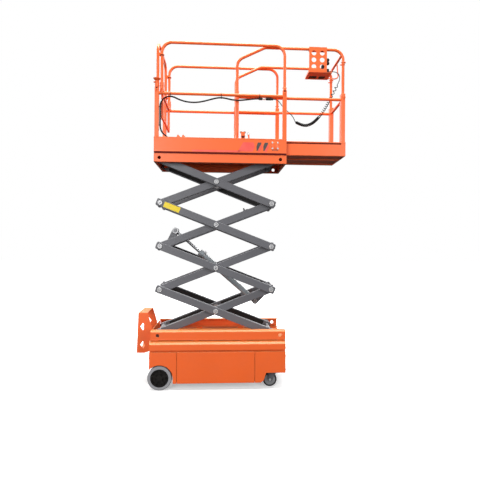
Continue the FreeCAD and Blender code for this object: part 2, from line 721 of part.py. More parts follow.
def drive_motors():
    """Motors and stub axles behind the drive wheels, hung from the floor above them."""
    inner_face = WHEEL_FACE - WHEEL_WIDTH
    end = inner_face - MOTOR_GAP
    motor = across(MOTOR_RADIUS, WHEEL_X, WHEEL_RADIUS, (end - MOTOR_LENGTH, end))
    axle = across(AXLE_RADIUS, WHEEL_X, WHEEL_RADIUS, (end, WHEEL_FACE - AXLE_INSET))
    hanger_y = (end - HANGER_GAP - HANGER_PLATE, end - HANGER_GAP)
    hanger = box((WHEEL_X - HANGER_HALF, WHEEL_X + HANGER_HALF), hanger_y, (WHEEL_RADIUS, REAR_FLOOR))
    return pair(fuse([motor, axle, hanger]))


def drive_wheel():
    """The left drive wheel: tyre, and the hub that turns on the stub axle."""
    y = (WHEEL_FACE - WHEEL_WIDTH, WHEEL_FACE)
    rim = WHEEL_RADIUS - TYRE_DEPTH
    tyre = across(WHEEL_RADIUS, WHEEL_X, WHEEL_RADIUS, y)
    tyre = tyre.makeFillet(TYRE_ROUND, [edge for edge in tyre.Edges if edge.Closed])
    tyre = tyre.cut(across(rim, WHEEL_X, WHEEL_RADIUS, y))
    hub = across(rim, WHEEL_X, WHEEL_RADIUS, (y[0] + HUB_INSET, y[1] - HUB_INSET))
    dish = across(rim - DISH_RIM, WHEEL_X, WHEEL_RADIUS, (y[1] - DISH_DEPTH, y[1]))
    bore_end = y[1] - AXLE_INSET + RUNNING_GAP
    bore = across(AXLE_RADIUS + PIN_CLEARANCE, WHEEL_X, WHEEL_RADIUS, (y[0], bore_end))
    return tyre, hub.cut(dish).cut(bore)


def caster():
    """The left caster at the front: swivel fork, tyre and rim."""
    y = CASTER_HALF_TRACK
    floor = FRONT_FLOOR + FLOOR_LIFT
    half = CASTER_WIDTH / 2
    inner = half + FORK_GAP
    outer = inner + FORK_SHEET
    top_end = floor - SWIVEL_GAP - SWIVEL_HEIGHT
    top_z = (top_end - FORK_TOP, top_end)
    ends = (CASTER_X - FORK_REACH[0], SWIVEL_X + FORK_REACH[1])
    foot = CASTER_RADIUS - FORK_FOOT[1]
    outline = [
        (CASTER_X - FORK_FOOT[0], foot), (CASTER_X + FORK_FOOT[0], foot),
        (ends[1], top_z[0]), (ends[0], top_z[0]),
    ]
    legs = [plate(outline, (y + inner, y + outer)), plate(outline, (y - outer, y - inner))]
    top = box(ends, (y - outer, y + outer), top_z)
    bearing = rod_along(Z_AXIS, SWIVEL_RADIUS, (SWIVEL_X, y, 0), top_z[1], floor - SWIVEL_GAP)
    pin_end = outer + FORK_SHEET
    axle = across(CASTER_AXLE, CASTER_X, CASTER_RADIUS, (y - pin_end, y + pin_end))
    fork = fuse([top, bearing, axle] + legs)
    width = (y - half, y + half)
    tread = across(CASTER_RADIUS, CASTER_X, CASTER_RADIUS, width)
    tread = tread.makeFillet(CASTER_ROUND, [edge for edge in tread.Edges if edge.Closed])
    rim_radius = CASTER_RADIUS - CASTER_TYRE
    tyre = tread.cut(across(rim_radius, CASTER_X, CASTER_RADIUS, width))
    rim_y = (width[0] + FORK_GAP / 2, width[1] - FORK_GAP / 2)
    rim = across(rim_radius, CASTER_X, CASTER_RADIUS, rim_y)
    rim = rim.cut(across(CASTER_AXLE + PIN_CLEARANCE, CASTER_X, CASTER_RADIUS, width))
    return fork, tyre, rim


def platform_frame():
    """Channel skirts round the platform; the upper rollers run on their side flanges."""
    half = PLATFORM_HALF_WIDTH
    wall = SKIRT_WALL
    z = (SKIRT_BOTTOM, SKIRT_TOP)
    outer = box((PLATFORM_REAR, PLATFORM_FRONT), (-half, half), z)
    inner = box((PLATFORM_REAR + wall, PLATFORM_FRONT - wall), (-half + wall, half - wall),
                (z[0] + wall, z[1] + 1))
    mouth = box((PLATFORM_REAR + END_FLANGE, PLATFORM_FRONT - END_FLANGE),
                (-half + SIDE_FLANGE, half - SIDE_FLANGE), (z[0] - 1, z[1] + 1))
    ring = outer.cut(inner).cut(mouth)
    for x in (PIVOT_X, PIVOT_X + LONG_SPAN):
        ring = ring.cut(across(RAIL_HOLE_RADIUS, x, PLATFORM_PIVOT, (-half - 1, half + 1)))
    return ring


def platform_deck():
    """Deck plate with its turned-down edges, and the ears at the fixed end of the scissor."""
    half = PLATFORM_HALF_WIDTH - SKIRT_WALL
    ends = (PLATFORM_REAR + SKIRT_WALL, PLATFORM_FRONT - SKIRT_WALL)
    z = (DECK_TOP - DECK_THICK, DECK_TOP)
    whole = box(ends, (-half, half), (SKIRT_TOP - DECK_EDGE, DECK_TOP))
    hollow = box((ends[0] + SKIRT_WALL, ends[1] - SKIRT_WALL), (-half + SKIRT_WALL, half - SKIRT_WALL),
                 (SKIRT_TOP - DECK_EDGE - 1, z[0]))
    deck = whole.cut(hollow)
    low = PLATFORM_PIVOT - DECK_EAR_HALF
    ear_y = (OUTER_ARM[1] + DECK_EAR_GAP, OUTER_ARM[1] + DECK_EAR_GAP + DECK_EAR_PLATE)
    ear = plate([
        (PIVOT_X - DECK_EAR_REACH[0], z[0]), (PIVOT_X - DECK_EAR_HALF, low),
        (PIVOT_X + DECK_EAR_HALF, low), (PIVOT_X + DECK_EAR_REACH[1], z[0]),
    ], ear_y)
    head_y = (ear_y[1], ear_y[1] + HEAD_THICK)
    stub_y = (OUTER_ARM[0] - DECK_EAR_GAP, head_y[1])
    stub = across(PIN_RADIUS - PIN_CLEARANCE, PIVOT_X, PLATFORM_PIVOT, stub_y)
    head = across(HEAD_RADIUS, PIVOT_X, PLATFORM_PIVOT, head_y)
    return fuse([deck] + pair(ear) + pair(stub) + pair(head))


def toe_boards(rear, front, half, low, height, sheet, ends):
    """Kick plates along both sides and across the ends asked for."""
    z = (low, low + height)
    boards = pair(box((rear, front), (half - sheet, half), z))
    if "rear" in ends:
        boards.append(box((rear, rear + sheet), (-half + sheet, half - sheet), z))
    if "front" in ends:
        boards.append(box((front - sheet, front), (-half + sheet, half - sheet), z))
    return boards


def platform_lower_rails():
    """Corner posts welded to the skirts, the middle rail of each side and the leg sockets."""
    base = SKIRT_TOP
    rear = PLATFORM_REAR + REAR_POST_INSET
    front = PLATFORM_FRONT - FRONT_POST_INSET
    half = POST_SIZE / 2
    pieces = []
    leg = PLATFORM_REAR + SIDE_LEG_INSET
    for x in (rear, front):
        pieces.append(box((x - half, x + half), (POST_LINE - half, POST_LINE + half),
                          (DECK_TOP, base + POST_TOP)))
    rail_z = base + MID_RAIL
    pieces.append(straight_bar((rear, POST_LINE, rail_z), (front, POST_LINE, rail_z), RAIL_TUBE))
    socket_z = (rail_z, rail_z + SOCKET_HEIGHT)
    pieces.append(rod_along(Z_AXIS, SOCKET_RADIUS, (leg, POST_LINE, 0), *socket_z))
    return pair(fuse(pieces))


def side_top_rails():
    """Upper side frames, each one bent tube on two legs."""
    base = SKIRT_TOP
    rear = PLATFORM_REAR + SIDE_LEG_INSET
    front = PLATFORM_FRONT - FRONT_POST_INSET
    points = [
        (rear, POST_LINE, base + MID_RAIL + SOCKET_HEIGHT), (rear, POST_LINE, base + TOP_RAIL),
        (front, POST_LINE, base + TOP_RAIL), (front, POST_LINE, base + POST_TOP),
    ]
    return pair(bent_bar(points, BEND_RADIUS, RAIL_TUBE))


def rear_top_rail():
    """Upper frame across the entry end, with the clamp plates that tie it to the side frames."""
    base = SKIRT_TOP
    x = PLATFORM_REAR + REAR_POST_INSET + REAR_FRAME_OFFSET
    points = [
        (x, POST_LINE, base + POST_TOP), (x, POST_LINE, base + TOP_RAIL),
        (x, -POST_LINE, base + TOP_RAIL), (x, -POST_LINE, base + POST_TOP),
    ]
    frame = bent_bar(points, BEND_RADIUS, RAIL_TUBE)
    leg = PLATFORM_REAR + SIDE_LEG_INSET
    low = base + CLAMP_AT
    clamp = box((x, leg - RAIL_TUBE), (POST_LINE - CLAMP_PLATE / 2, POST_LINE + CLAMP_PLATE / 2),
                (low, low + CLAMP_HEIGHT))
    return fuse([frame] + pair(clamp))


def entry_gate():
    """Two bars across the entry, on end tubes with a sleeve round each rear leg."""
    x = PLATFORM_REAR + SIDE_LEG_INSET
    top = SKIRT_TOP + MID_RAIL
    half = GATE_HALF_WIDTH
    sleeve_z = (top + SOCKET_HEIGHT + SLEEVE_GAP, top + SOCKET_HEIGHT + SLEEVE_GAP + SLEEVE_HEIGHT)
    pieces = [across(GATE_BAR, x, z, (-half, half)) for z in (top, top - GATE_DROP)]
    side = [
        rod_along(Z_AXIS, GATE_TUBE, (x, half, 0), top - GATE_DROP - GATE_TUBE, sleeve_z[1]),
        rod_along(Z_AXIS, SOCKET_RADIUS, (x, POST_LINE, 0), *sleeve_z),
        box((x - SLEEVE_LINK / 2, x + SLEEVE_LINK / 2), (half, POST_LINE), sleeve_z),
    ]
    bore = rod_along(Z_AXIS, RAIL_TUBE + PIN_CLEARANCE, (x, POST_LINE, 0), *sleeve_z)
    sides = pair(fuse(side).cut(bore))
    return fuse(pieces + sides)


def extension_deck():
    """Roll-out deck plate with a wide rib below and a front skirt."""
    z = (EXTENSION_DECK, EXTENSION_DECK + EXTENSION_SHEET)
    half = EXTENSION_HALF_WIDTH
    front = EXTENSION_FRONT - TOE_SHEET
    deck = box((EXTENSION_REAR, front), (-half, half), z)
    rib_low = DECK_TOP + RUNNING_GAP
    ribs = []
    side = half - SIDE_RIB_INSET
    for centre, width in ((0, RIB_HALF_WIDTH), (side, SIDE_RIB_HALF_WIDTH), (-side, SIDE_RIB_HALF_WIDTH)):
        ribs.append(box((EXTENSION_REAR, front), (centre - width, centre + width),
                        (rib_low, z[0])))
    return fuse([deck] + ribs)


def extension_lower_rails():
    """Posts, middle rails and leg sockets of the roll-out deck, with the rail across its front."""
    base = EXTENSION_DECK + EXTENSION_SHEET
    line = EXTENSION_LINE
    half = POST_SIZE / 2
    rear = EXTENSION_REAR + EXTENSION_POST_INSET
    front = EXTENSION_POST_X
    rail_z = EXTENSION_RAIL_Z
    top = SKIRT_TOP + POST_TOP
    deep = line + half - FRONT_POST_DEPTH
    side = [
        box((front - half, front + half), (deep, line + half), (base, top)),
        rod_along(Z_AXIS, RAIL_TUBE + EXTENSION_LEG_WALL, (rear, line, 0), base, top),
        straight_bar((rear, line, rail_z), (front, line, rail_z), RAIL_TUBE),
    ]
    across_front = across(RAIL_TUBE, front, rail_z, (-line, line))
    return fuse(pair(fuse(side)) + [across_front])


def extension_side_rails():
    """Upper side frames of the roll-out deck, slanted up from the rear leg."""
    base = SKIRT_TOP
    line = EXTENSION_LINE
    rear = EXTENSION_REAR + EXTENSION_POST_INSET
    front = EXTENSION_POST_X
    points = [
        (rear, line, base + POST_TOP), (rear, line, base + SLANT_START),
        (rear + SLANT_RUN, line, base + TOP_RAIL), (front, line, base + TOP_RAIL),
        (front, line, base + POST_TOP),
    ]
    return pair(bent_bar(points, BEND_RADIUS, RAIL_TUBE))


def extension_front_rail():
    """Upper bar across the roll-out end, between the front bends of the side frames."""
    turn = math.radians(FRONT_BAR_ANGLE)
    x = EXTENSION_POST_X - BEND_RADIUS * (1 - math.cos(turn))
    z = SKIRT_TOP + TOP_RAIL - BEND_RADIUS * (1 - math.sin(turn))
    bar = across(FRONT_BAR, x, z, (-EXTENSION_LINE, EXTENSION_LINE))
    for side in extension_side_rails():
        bar = bar.cut(side)
    return bar


def control_holder():
    """Perforated plate hooked over the near top rail, with a tray inboard at its foot."""
    top = HOLDER_TOP
    foot = top - HOLDER_HEIGHT
    x = (EXTENSION_FRONT - HOLDER_PLACE[0], EXTENSION_FRONT - HOLDER_PLACE[1])
    outer = -(EXTENSION_LINE + RAIL_TUBE)
    y = (outer - HOLDER_SHEET, outer)
    panel = box(x, y, (foot, top))
    middle = (x[0] + x[1]) / 2
    for column in (-0.5, 0.5):
        for row in range(3):
            hole_x = middle + column * HOLDER_PITCH[0]
            hole_z = top - HOLDER_HOLE_DROP - row * HOLDER_PITCH[1]
            panel = panel.cut(across(HOLDER_HOLE, hole_x, hole_z, (y[0] - 1, y[1] + 1)))
    hook = box(x, (y[0], outer + 2 * RAIL_TUBE + HOLDER_SHEET), (top - HOLDER_SHEET, top))
    lip_y = (outer + 2 * RAIL_TUBE, outer + 2 * RAIL_TUBE + HOLDER_SHEET)
    lip = box(x, lip_y, (top - 2 * TRAY_LIP, top))
    tray_x = (x[0] - TRAY_REACH[0], x[1] + TRAY_REACH[1])
    tray_y = (y[0], outer + TRAY_DEPTH)
    floor = box(tray_x, tray_y, (foot, foot + HOLDER_SHEET))
    window_y = (tray_y[0] + TRAY_WINDOW_DEPTH[0], tray_y[0] + TRAY_WINDOW_DEPTH[1])
    for start, end in TRAY_WINDOWS:
        window_x = (tray_x[0] + start, tray_x[0] + end)
        floor = floor.cut(box(window_x, window_y, (foot - HOLDER_SHEET, foot + 2 * HOLDER_SHEET)))
    rims = [
        box((tray_x[0], tray_x[0] + HOLDER_SHEET), tray_y, (foot, foot + TRAY_LIP)),
        box((tray_x[1] - HOLDER_SHEET, tray_x[1]), tray_y, (foot, foot + TRAY_LIP)),
        box(tray_x, (tray_y[1] - HOLDER_SHEET, tray_y[1]), (foot, foot + TRAY_LIP)),
    ]
    return fuse([panel, hook, lip, floor] + rims)


def controller():
    """Hand controller on the tray, with its stick."""
    foot = HOLDER_TOP - HOLDER_HEIGHT + HOLDER_SHEET
    top = foot + CONTROLLER_HEIGHT
    y = -(EXTENSION_LINE + RAIL_TUBE) + CONTROLLER_GAP
    x = (EXTENSION_FRONT - HOLDER_PLACE[0] + CONTROLLER_INSET[0],
         EXTENSION_FRONT - HOLDER_PLACE[1] - CONTROLLER_INSET[1])
    body = box(x, (y, y + CONTROLLER_DEPTH), (foot, top))
    stick_y = y + CONTROLLER_DEPTH / 2
    stick = rod_along(Z_AXIS, STICK_RADIUS, (x[1] - STICK_INSET, stick_y, 0), top, top + STICK_HEIGHT)
    return fuse([body, stick])


def deck_lock():
    """Foot lock of the roll-out deck, on a plate against the near toe board."""
    x = (PLATFORM_REAR + LOCK_PLACE, PLATFORM_REAR + LOCK_PLACE + LOCK_WIDTH)
    board = -(POST_LINE + POST_SIZE / 2)
    y = (board, board + LOCK_PLATE)
    plate_down = box(x, y, (TOE_TOP - LOCK_HEIGHT, TOE_TOP + LOCK_HEIGHT))
    cross = box((x[0] - LOCK_PLATE, x[1] + LOCK_PLATE), (y[0], y[0] + LOCK_WIDTH / 2),
                (TOE_TOP + LOCK_HEIGHT - LOCK_PLATE, TOE_TOP + LOCK_HEIGHT))
    pin_x = (x[0] + x[1]) / 2
    pin = rod_along(Z_AXIS, LOCK_PLATE, (pin_x, y[0] + LOCK_WIDTH / 2 - LOCK_PLATE, 0),
                    TOE_TOP, TOE_TOP + LOCK_HEIGHT)
    return fuse([plate_down, cross, pin])


def toe_brackets():
    """Two small angle brackets that stand above the near toe board."""
    board = -(POST_LINE + POST_SIZE / 2)
    brackets = []
    for place in BRACKET_PLACES:
        x = PLATFORM_REAR + place
        low = TOE_TOP - BRACKET_SIZE[1]
        outline = [
            (x, low), (x + BRACKET_SIZE[0], low), (x + BRACKET_SIZE[0], TOE_TOP + BRACKET_SIZE[1] / 3),
            (x + BRACKET_SIZE[0] / 3, TOE_TOP + BRACKET_SIZE[1]), (x, TOE_TOP + BRACKET_SIZE[1] / 2),
        ]
        brackets.append(plate(outline, (board, board + LOCK_PLATE)))
    return brackets


def rail_cable_route():
    """Cable up beside the rear post and along under the middle rail; X and Z from the deck's rear."""
    route = [
        (150, 12), (150, 66), (138, 114), (104, 146), (67, 178), (51.5, 222), (51, 262), (51.5, 322),
        (51, 380), (51.5, 430), (74, 473), (115, 497), (163, 497), (222, 468), (290, 451), (360, 448),
        (430, 460), (500, 481), (562, 497), (616, 496), (680, 481), (750, 477), (826, 487), (900, 497),
        (960, 496), (1018, 496),
    ]
    return [(PLATFORM_REAR + x, -POST_LINE, DECK_TOP + z) for x, z in route]


def lead_route():
    """Thin lead from the cable's joint to the coil, in steps along, inboard and down."""
    start = rail_cable_route()[-1]
    route = [
        (JOINT_LENGTH, 0, 0), (70, 0, 0), (98, 18, -26), (130, 42, -60), (164, 58, -84),
        (198, 74, -106), (228, 80, -136), (246, 80, -178),
    ]
    return [(start[0] + x, start[1] + y, start[2] + z) for x, y, z in route]


def coil_route():
    """Middle line of the coiled stretch, in steps along and up from the lead's end."""
    start = lead_route()[-1]
    route = [(0, 0), (70, -38), (150, -20), (222, 48), (286, 146), (338, 250), (388, 348)]
    return [(start[0] + x, start[1], start[2] + z) for x, z in route]


def controller_lead_route():
    """Lead from the coil's top, over the tray's rim and into the end of the controller."""
    start = coil_route()[-1]
    route = [(0, 0), (20, 38), (26, 78), (6, 112), (-30, 122), (-56, 121), (-82, 121)]
    return [(start[0] + x, start[1], start[2] + z) for x, z in route]


def clip_ring(route, run):
    """A ring about the middle of one run of the cable, and that middle."""
    start, end = FreeCAD.Vector(*route[run]), FreeCAD.Vector(*route[run + 1])
    ahead = (end - start).normalize()
    middle = (start + end) / 2
    foot = middle - ahead * (CLIP_WIDTH / 2)
    ring = Part.makeCylinder(CABLE_RADIUS + CLIP_GAP + CLIP_WALL, CLIP_WIDTH, foot, ahead)
    bore = Part.makeCylinder(CABLE_RADIUS + CLIP_GAP, 2 * CLIP_WIDTH, middle - ahead * CLIP_WIDTH, ahead)
    return ring, bore, middle


def cable_fittings():
    """Gland on the deck, clips on the rear post and the middle rail, and the joint to the lead."""
    route = rail_cable_route()
    fittings = [rod_along(Z_AXIS, GLAND_RADIUS, route[0], DECK_TOP - route[0][2], 0)]
    post = PLATFORM_REAR + REAR_POST_INSET + POST_SIZE / 2
    rail_z = SKIRT_TOP + MID_RAIL
    for run in POST_CLIPS:
        ring, bore, middle = clip_ring(route, run)
        foot = box((post, middle.x), (-POST_LINE - CLIP_WIDTH / 2, -POST_LINE + CLIP_WIDTH / 2),
                   (middle.z - CLIP_WIDTH / 2, middle.z + CLIP_WIDTH / 2))
        fittings.append(fuse([ring, foot]).cut(bore))
    for run in RAIL_CLIPS:
        ring, bore, middle = clip_ring(route, run)
        ends = (middle.x - CLIP_WIDTH / 2, middle.x + CLIP_WIDTH / 2)
        centre = (0, -POST_LINE, rail_z)
        band = rod_along(X_AXIS, RAIL_TUBE + CLIP_WALL, centre, *ends)
        hanger = box(ends, (-POST_LINE - CLIP_WALL, -POST_LINE + CLIP_WALL), (middle.z, rail_z))
        rail = rod_along(X_AXIS, RAIL_TUBE + PIN_CLEARANCE, centre, *ends)
        fittings.append(fuse([ring, band, hanger]).cut(bore).cut(rail))
    end = route[-1]
    fittings.append(rod_along(X_AXIS, JOINT_RADIUS, end, 0, JOINT_LENGTH))
    return fittings


def main():
    os.makedirs("parts", exist_ok=True)
    save("chassis_frame", chassis_frame())
    save("chassis_shell", chassis_shell())
    save("pivot_ears", pivot_ears())
    save("side_covers", side_covers())
    save("end_panels", end_panels())
    save("ladder", ladder())
    save("power_block", power_block())
    save("guide_rails", guide_rails())
    save("drive_motors", drive_motors())
    tyre, hub = drive_wheel()
    fork, caster_tyre, rim = caster()
    pieces = {
        "drive_tyre": tyre, "drive_hub": hub,
        "caster_fork": fork, "caster_tyre": caster_tyre, "caster_rim": rim,
    }
    for name, shape in pieces.items():
        for side, sign in SIDES:
            save(name + "_" + side, shape if sign > 0 else mirrored(shape))
    for stage in range(1, STAGES + 1):
        save("inner_frame_%d" % stage, inner_frame(stage))
        save("outer_arms_%d" % stage, outer_frame(stage))
        save("outer_pins_%d" % stage, outer_pins(stage))
    save("chassis_rollers", chassis_rollers())
    save("platform_rollers", platform_rollers())
    save("lower_bracket", bracket(1, LOWER_TUBE, LOWER_EYE, True))
    save("upper_bracket", bracket(3, UPPER_TUBE, UPPER_EYE, False))
    barrel, rod = cylinder()
    save("cylinder_barrel", barrel)
    save("cylinder_rod", rod)
    save("platform_frame", platform_frame())
    save("platform_deck", platform_deck())
    save("platform_toe_boards", toe_boards(
        PLATFORM_REAR, PLATFORM_FRONT, POST_LINE + POST_SIZE / 2 + TOE_SHEET,
        SKIRT_TOP + TOE_GAP, TOE_HEIGHT, TOE_SHEET, ("rear",)))
    save("platform_lower_rails", platform_lower_rails())
    save("side_top_rails", side_top_rails())
    save("rear_top_rail", rear_top_rail())
    save("entry_gate", entry_gate())
    save("extension_deck", extension_deck())
    save("extension_toe_boards", toe_boards(
        EXTENSION_REAR, EXTENSION_FRONT, EXTENSION_LINE + POST_SIZE / 2 + TOE_SHEET,
        DECK_TOP + SLIDE_GAP, EXTENSION_TOE, TOE_SHEET, ("front",)))
    save("extension_lower_rails", extension_lower_rails())
    save("extension_side_rails", extension_side_rails())
    save("extension_front_rail", extension_front_rail())
    save("control_holder", control_holder())
    save("controller", controller())
    save("deck_lock", deck_lock())
    save("toe_brackets", toe_brackets())
    save("rail_cable", cord_tube("rail_cable", rail_cable_route(), CABLE_RADIUS))
    save("cable_fittings", cable_fittings())
    coil = cord_tube("control_coil", coil_route(), COIL_RADIUS)
    save("control_coil", coil)
    for name, route in (("control_lead", lead_route()), ("controller_lead", controller_lead_route())):
        save(name, cord_tube(name, route, LEAD_RADIUS).cut(coil).Solids)


main()
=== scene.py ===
import json
import math

import bmesh
import bpy
from mathutils import Matrix, Vector


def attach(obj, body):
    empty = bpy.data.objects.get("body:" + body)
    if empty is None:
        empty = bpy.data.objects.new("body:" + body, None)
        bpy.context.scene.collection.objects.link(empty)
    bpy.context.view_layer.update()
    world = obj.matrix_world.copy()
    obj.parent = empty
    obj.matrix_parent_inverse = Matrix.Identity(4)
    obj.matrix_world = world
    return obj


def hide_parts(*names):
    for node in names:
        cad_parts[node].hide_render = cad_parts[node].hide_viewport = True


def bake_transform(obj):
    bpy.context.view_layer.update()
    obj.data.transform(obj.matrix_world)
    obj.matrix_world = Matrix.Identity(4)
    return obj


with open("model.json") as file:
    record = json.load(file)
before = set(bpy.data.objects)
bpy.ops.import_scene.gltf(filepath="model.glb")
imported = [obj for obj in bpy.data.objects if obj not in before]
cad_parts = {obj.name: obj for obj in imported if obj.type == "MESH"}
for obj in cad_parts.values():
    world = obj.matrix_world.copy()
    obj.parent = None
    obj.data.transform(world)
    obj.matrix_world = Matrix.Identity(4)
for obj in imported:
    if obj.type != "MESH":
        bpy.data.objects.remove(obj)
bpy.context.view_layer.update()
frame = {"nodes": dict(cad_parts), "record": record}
NODES = frame["nodes"]

# Places and sizes of the machine, in metres, as in the CAD model
PIVOT_X = -0.732
ARM_LENGTH = 1.0745
REST_ANGLE = math.radians(21.25)
SPAN = ARM_LENGTH * math.cos(REST_ANGLE)
RISE = ARM_LENGTH * math.sin(REST_ANGLE)
PIVOT_Z = 0.474
STAGES = 4
SKIRT_TOP = PIVOT_Z + STAGES * RISE + 0.038
DECK_TOP = SKIRT_TOP + 0.010
ROLL_OUT_TOP = DECK_TOP + 0.013
PLATFORM_REAR = PIVOT_X - 0.048
PLATFORM_FRONT = PLATFORM_REAR + 1.173
EXTENSION_FRONT = PLATFORM_FRONT + 0.547
EXTENSION_REAR = EXTENSION_FRONT - 1.017
CHASSIS_REAR = PIVOT_X - 0.070
CHASSIS_FRONT = CHASSIS_REAR + 1.190
POST_LINE = 0.300
ARM_FACE = 0.240
WHEEL_X = CHASSIS_REAR + 0.089
WHEEL_RADIUS = 0.105


# Finishes

def srgb(red, green, blue):
    """A colour as seen on a screen, from 0 to 255, made linear."""
    def linear(value):
        value /= 255
        return value / 12.92 if value <= 0.04045 else ((value + 0.055) / 1.055) ** 2.4
    return linear(red), linear(green), linear(blue), 1.0


def shaded(colour, share, lift=0.0):
    """A colour times a share, plus a lift."""
    return tuple(part * share + lift for part in colour[:3]) + (1.0,)


class Value:
    """A socket of a shader tree, on which sums are written as Python sums."""

    def __init__(self, owner, socket):
        self.owner = owner
        self.socket = socket

    def math(self, operation, first, second):
        return self.owner.add("Math", {0: first, 1: second}, operation=operation)["Value"]

    def __add__(self, other):
        return self.math("ADD", self, other)

    def __radd__(self, other):
        return self.math("ADD", other, self)

    def __sub__(self, other):
        return self.math("SUBTRACT", self, other)

    def __rsub__(self, other):
        return self.math("SUBTRACT", other, self)

    def __mul__(self, other):
        return self.math("MULTIPLY", self, other)

    def above(self, low, high):
        """0 below low, 1 above high, and a straight line between."""
        return self.owner.add("MapRange", {0: self, 1: low, 2: high, 3: 0.0, 4: 1.0}, clamp=True)["Result"]


class Shading:
    """A shader tree, written one node at a time."""

    def __init__(self, tree):
        self.tree = tree

    def put(self, slot, part):
        """Give a socket a link or a plain value."""
        if isinstance(part, Value):
            self.tree.links.new(part.socket, slot)
        else:
            slot.default_value = part

    def add(self, kind, values=None, **settings):
        """A node of one kind, with its settings and the values or links of its sockets."""
        node = self.tree.nodes.new("ShaderNode" + kind)
        for label, value in settings.items():
            setattr(node, label, value)
        for label, value in (values or {}).items():
            self.put(node.inputs[label], value)
        return {slot.name: Value(self, slot) for slot in node.outputs if slot.enabled}


class Finish(Shading):
    """A material written as a few lines; constants go on the shader's own sockets."""

    def __init__(self, name, colour, **constants):
        self.material = bpy.data.materials.new(name)
        self.material.use_nodes = True
        super().__init__(self.material.node_tree)
        self.shader = self.tree.nodes["Principled BSDF"]
        self.shader.inputs["Base Color"].default_value = colour
        for label, value in constants.items():
            self.shader.inputs[label.replace("_", " ")].default_value = value
        self.place = self.add("TexCoord")["Object"]

    def noise(self, scale, detail=2.0, rough=0.5, place=None):
        return self.add("TexNoise", {
            "Vector": place or self.place, "Scale": scale, "Detail": detail, "Roughness": rough,
        })["Fac"]

    def stretched(self, x, y, z):
        """Object coordinates drawn out along the axes with small numbers."""
        return self.add("VectorMath", {0: self.place, 1: (x, y, z)}, operation="MULTIPLY")["Vector"]

    def mix(self, share, first, second):
        """Colours mixed by a share; the colour sockets of the node are the seventh and the eighth."""
        return self.add("Mix", {0: share, 6: first, 7: second}, data_type="RGBA")["Result"]

    def edges(self, radius):
        """1 where the surface bends sharply within the radius, and the rounded normal."""
        rounded = self.add("Bevel", {"Radius": radius}, samples=6)["Normal"]
        flat = self.add("NewGeometry")["Normal"]
        turn = self.add("VectorMath", {0: rounded, 1: flat}, operation="DOT_PRODUCT")["Value"]
        return 1.0 - turn, rounded

    def upward(self, normal):
        """1 where a normal points up, -1 where it points down."""
        return self.add("SeparateXYZ", {"Vector": normal})["Z"]

    def feed(self, **links):
        for label, value in links.items():
            self.put(self.shader.inputs[label.replace("_", " ")], value)

    def bump(self, height, strength, distance, normal=None):
        values = {"Height": height, "Strength": strength, "Distance": distance}
        if normal:
            values["Normal"] = normal
        self.feed(Normal=self.add("Bump", values)["Normal"])


def powder_coat(name, colour, wear_and_highlight, shade=0.86, roughness=0.42, edge=0.0035, dust_and_top_highlight=None):
    """Baked paint: orange peel, drift of the colour, lighter edges that are partly wear and partly a painted
    highlight, a painted highlight on faces that point up and painted shade on faces that point down.
    """
    coat = Finish(name, colour, Roughness=roughness, Coat_Weight=0.12, Coat_Roughness=0.25)
    dark = shaded(colour, shade)
    drift = coat.noise(2.3, 4.0, 0.6).above(0.3, 0.7)
    cloud = coat.noise(14.0, 3.0, 0.6).above(0.35, 0.75)
    body = coat.mix(drift * 0.35 + cloud * 0.2, colour, dark)
    bend, rounded = coat.edges(edge)
    # Lighter edges: partly wear, partly a painted highlight where the edges catch the light
    wear_and_edge_highlight = bend.above(0.03, 0.35) * coat.noise(55.0, 3.0, 0.7).above(0.35, 0.6)
    scuff = coat.noise(9.0, 5.0, 0.75, coat.stretched(1.0, 1.0, 7.0)).above(0.68, 0.74)
    worn_and_edge_lit = coat.mix(wear_and_edge_highlight * 0.5, body, wear_and_highlight)
    rise = coat.upward(rounded)
    # Faces that point up are lightened: a painted highlight, as from the light above
    top_highlighted = coat.mix(rise.above(0.25, 0.8) * 0.6, worn_and_edge_lit, dust_and_top_highlight or wear_and_highlight)
    # Faces that point down are darkened: painted shade
    under_shaded = coat.mix((0.0 - rise).above(0.4, 0.95) * 0.5, top_highlighted, shaded(colour, 0.15))
    coat.feed(Base_Color=coat.mix(scuff * 0.18, under_shaded, dark))
    coat.feed(Roughness=roughness + (cloud - 0.5) * 0.1 + scuff * 0.15)
    peel = coat.noise(420.0, 1.0, 0.5) + coat.noise(90.0, 2.0, 0.5) * 0.5
    coat.bump(peel, 0.12, 0.0006, rounded)
    return coat.material


def plated(name, colour, roughness=0.34):
    """Zinc plate: small crystals of unlike brightness, with dull stains."""
    metal = Finish(name, colour, Metallic=0.85, Roughness=roughness)
    crystal = metal.add("TexVoronoi", {"Vector": metal.place, "Scale": 180.0})["Color"]
    grey = metal.add("RGBToBW", {"Color": crystal})["Val"]
    stain = metal.noise(30.0, 4.0, 0.6).above(0.45, 0.7)
    metal.feed(Base_Color=metal.mix(grey * 0.35 + stain * 0.3, colour, shaded(colour, 0.62)))
    metal.feed(Roughness=roughness + grey * 0.12 + stain * 0.2)
    bend, rounded = metal.edges(0.0015)
    metal.bump(metal.noise(300.0) + bend * 0.1, 0.1, 0.0004, rounded)
    return metal.material


def chrome(name):
    """Plated rod: a film of oil in patches, and a dark reflection of what lies below painted on its
    underside.
    """
    metal = Finish(name, srgb(226, 228, 232), Metallic=1.0, Roughness=0.34)
    oil = metal.noise(18.0, 4.0, 0.6).above(0.5, 0.72)
    filmed = metal.mix(oil * 0.25, srgb(214, 216, 220), srgb(172, 170, 166))
    rounded = metal.edges(0.001)[1]
    # Painted reflection: the underside is darkened
    below = (0.0 - metal.upward(rounded)).above(-0.3, 0.45)
    metal.feed(Base_Color=metal.mix(below, filmed, srgb(58, 60, 64)))
    metal.feed(Roughness=0.26 + oil * 0.10)
    metal.bump(metal.noise(900.0), 0.03, 0.0001)
    return metal.material


